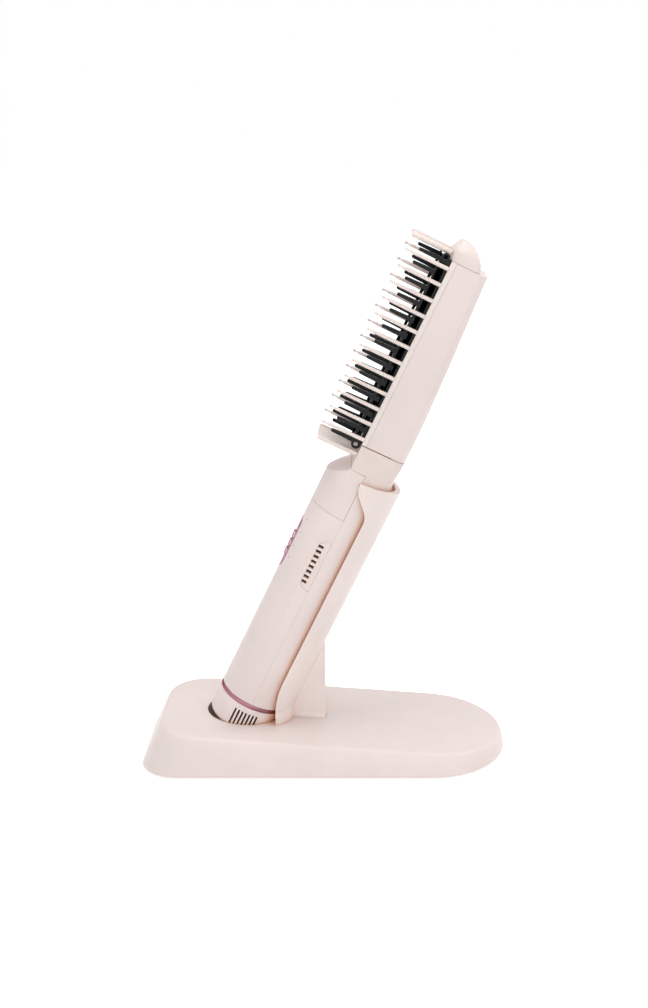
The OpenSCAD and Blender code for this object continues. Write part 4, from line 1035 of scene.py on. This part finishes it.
def screw(r, head_r, head_t, length):
    """Screw that points up from the underside of its head."""
    profile = ([(0, -head_t)] + fillet(head_r - 0.3, -head_t + 0.3, 0.3, -90, 0, 4)
               + [(head_r, 0), (r, 0), (r, length - r), (r / 3, length), (0, length)])
    made = object_from("screw", lathe("screw", profile, 32))
    for turn in (0, 90):
        arm = block("arm", (-head_r * 0.6, -0.25, -head_t - 1), (head_r * 0.6, 0.25, -head_t / 2))
        arm.data.transform(Matrix.Rotation(math.radians(turn), 4, "Z"))
        combine(made, arm, "DIFFERENCE")
    return made

# %% [markdown]
# ## Where the screws and feet sit
# The base is closed from below with four screws and stands on four rubber feet, which have a
# shallow hollow in their soles. Two screws hold the back of the handle, and two the heated
# plate. The screws in the handle are turned, so that their heads face out.

# %% Screws and feet
STAND_L, STAND_W = 185.4, 81
FOOT_R, FOOT_H, FOOT_HOLLOW_R, FOOT_HOLLOW, FOOT_EDGE = 5, 2.1, 3.3, 0.12, 0.4
pad_x = (14.7 - STAND_L / 2, STAND_L / 2 - 22.7)
pad_y = (STAND_W / 2 - 10.5, STAND_W / 2 - 16.5)
feet = [(x, side * y, 0) for x, y in zip(pad_x, pad_y) for side in (-1, 1)]
foot_profile = ([(0, FOOT_HOLLOW), (FOOT_HOLLOW_R, FOOT_HOLLOW), (FOOT_HOLLOW_R + 0.2, 0)]
                + fillet(FOOT_R - FOOT_EDGE, FOOT_EDGE, FOOT_EDGE, -90, 0, 4)
                + [(FOOT_R, FOOT_H), (0, FOOT_H)])
foot = object_from("foot", lathe("foot", foot_profile, 40))
under = [(x, side * (pad_y[1] - 3), 2.7) for x in (pad_x[0] + 2, pad_x[1] - 11) for side in (-1, 1)]
back = [(1.2 - HANDLE_R, 0, z) for z in (SPIGOT_END - 2.8, NECK_Z - 9.5)]
front = [(PLATE_TOP - 0.95, 0, z) for z in (PIN_LOW + PIN_PITCH, STRIP_HIGH - 6)]

at_places("base_screws", screw(1.25, 2.6, 1.4, 4.6), under, steel, MM, "cover_screws")
at_places("soft_feet", foot, feet, rubber, MM, "rubber_feet")
at_places("back_screws", screw(1.25, 2.2, 1, 3), back, steel, BRUSH, "handle_screws",
          (0, math.pi / 2, 0))
at_places("plate_screws", screw(1, 2, 0.9, 9), front, steel, BRUSH, "head_screws",
          (0, -math.pi / 2, 0))

# %% [markdown]
# ## Pieces that keep their CAD shape
# The bottom plate and everything inside already have the right shape. They only get materials,
# which are put into the slots of the CAD objects without touching their meshes.

# %% Paint the solids that stay
# The battery carrier's near-black brown also serves as painted shade behind the slits and notches.
inside = {"bottom_cover": shell_pink, "cradle_screws": steel, "charging_pins": gold_plate,
          "charging_board": solder_mask, "charge_contacts": gold_plate,
          "button_board": solder_mask, "main_board": solder_mask,
          "battery_carrier": dark_plastic, "battery_cell_lower": sleeve_blue,
          "battery_cell_upper": sleeve_blue, "heater_element": ceramic,
          "insulation_pad": heat_board, "temperature_sensor": ceramic}
for cad_node, material in inside.items():
    solid = frame["nodes"][cad_node]
    if not solid.material_slots:
        solid.data.materials.append(material)
    for each in solid.material_slots:
        each.material = material
print("painted", len(inside), "inner solids")

# %% [markdown]
# ## Dots beside the panel
# Four small dots stand in a line beside the control panel. Each is a thin disc that follows the
# curve of the handle, because a flat disc would cut into it or stand off at its ends.

# %% Dots
DOT_ANGLE, DOT_R = 28, 0.45
DOT_RINGS = ((-0.1, 1), (0.02, 1), (0.03, 0.7))


def dot_ring(z, lift, r, steps=16):
    """Circle laid on the handle's surface and lifted off it."""
    ring = []
    for i in range(steps):
        turn = 2 * math.pi * i / steps
        around = math.radians(DOT_ANGLE) + r * math.cos(turn) / HANDLE_R
        reach = HANDLE_R + lift
        ring.append((reach * math.cos(around), reach * math.sin(around), z + r * math.sin(turn)))
    return ring


for i, z in enumerate((115.9, 108.6, 100.4, 94.1)):
    made = loft("mark_%d" % i, [dot_ring(z, lift, DOT_R * share) for lift, share in DOT_RINGS])
    bake(made, BRUSH)
    made.data.materials.append(mark_grey)
    made.data.shade_smooth()
    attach(made, "brush")
print("4 dots")

# %% [markdown]
# ## Floor and world
# The object stands on a white table in even light. The floor takes the soft contact shadow, and
# for rays that come from the camera, or that glossy or clear surfaces send out, it also glows a
# little, so that it ends up white where no shadow falls. The world does the same. The object's
# own lighting doesn't change with that, which keeps its pale colours from burning out.

# %% Floor and world
FLOOR_GLOW, WORLD_LIGHT, FLOOR_REACH = 0.66, 0.41, 4


def seen_directly(tree):
    """1 for rays from the camera, and for those that glossy or clear surfaces send out."""
    path = node(tree, "ShaderNodeLightPath").outputs
    sent_on = math_node(tree, "MAXIMUM", path["Is Glossy Ray"], path["Is Transmission Ray"])
    return math_node(tree, "MAXIMUM", path["Is Camera Ray"], sent_on)


floor_mat = bpy.data.materials.new("floor_white")
floor_mat.use_nodes = True
tree = floor_mat.node_tree
tree.nodes.clear()
diffuse = node(tree, "ShaderNodeBsdfDiffuse", Color=grey(0.9)).outputs[0]
strength = math_node(tree, "MULTIPLY", seen_directly(tree), FLOOR_GLOW)
glow = node(tree, "ShaderNodeEmission", Color=grey(1), Strength=strength).outputs[0]
both = node(tree, "ShaderNodeAddShader", i0=diffuse, i1=glow).outputs[0]
node(tree, "ShaderNodeOutputMaterial", Surface=both)
corners = [(x * FLOOR_REACH, y * FLOOR_REACH, 0) for x, y in ((-1, -1), (1, -1), (1, 1), (-1, 1))]
floor = object_from("floor", mesh_from("floor", corners, [(0, 1, 2, 3)]))
floor.data.materials.append(floor_mat)

world = bpy.data.worlds.new("soft_white")
world.use_nodes = True
bpy.context.scene.world = world
tree = world.node_tree
tree.nodes.clear()
white = math_node(tree, "MULTIPLY", seen_directly(tree), 1 - WORLD_LIGHT)
strength = math_node(tree, "ADD", WORLD_LIGHT, white)
sky = node(tree, "ShaderNodeBackground", Color=grey(1), Strength=strength).outputs[0]
node(tree, "ShaderNodeOutputWorld", Surface=sky)
bpy.context.scene.view_settings.view_transform = "Standard"
print("floor %.0f m wide, world at %.2f" % (2 * FLOOR_REACH, WORLD_LIGHT))

# %% [markdown]
# ## Lamps
# Five large area lamps, each over a metre wide, give the forms their shape with soft edges to
# every shadow. The strongest hangs overhead, so the top of the base is the lightest face, and
# the others fill from the front, both sides and behind.

# %% Lamps
def lamp(name, place, size, watts, aim=(0, 0, 0.12)):
    data = bpy.data.lights.new(name, "AREA")
    data.size = size
    data.energy = watts
    made = bpy.data.objects.new(name, data)
    made.location = place
    made.rotation_euler = (Vector(aim) - Vector(place)).to_track_quat("-Z", "Y").to_euler()
    bpy.context.scene.collection.objects.link(made)


lamp("key", (-1.3, -0.8, 1.3), 1.2, 6)
lamp("front", (0.2, -1.5, 0.6), 1.2, 5.6)
lamp("fill", (1.2, -0.9, 0.7), 1.4, 3.5)
lamp("overhead", (0.1, 0.1, 1.5), 1.2, 10.5)
lamp("behind", (1.3, 0.7, 0.9), 1.2, 3.5)
print("5 lamps")
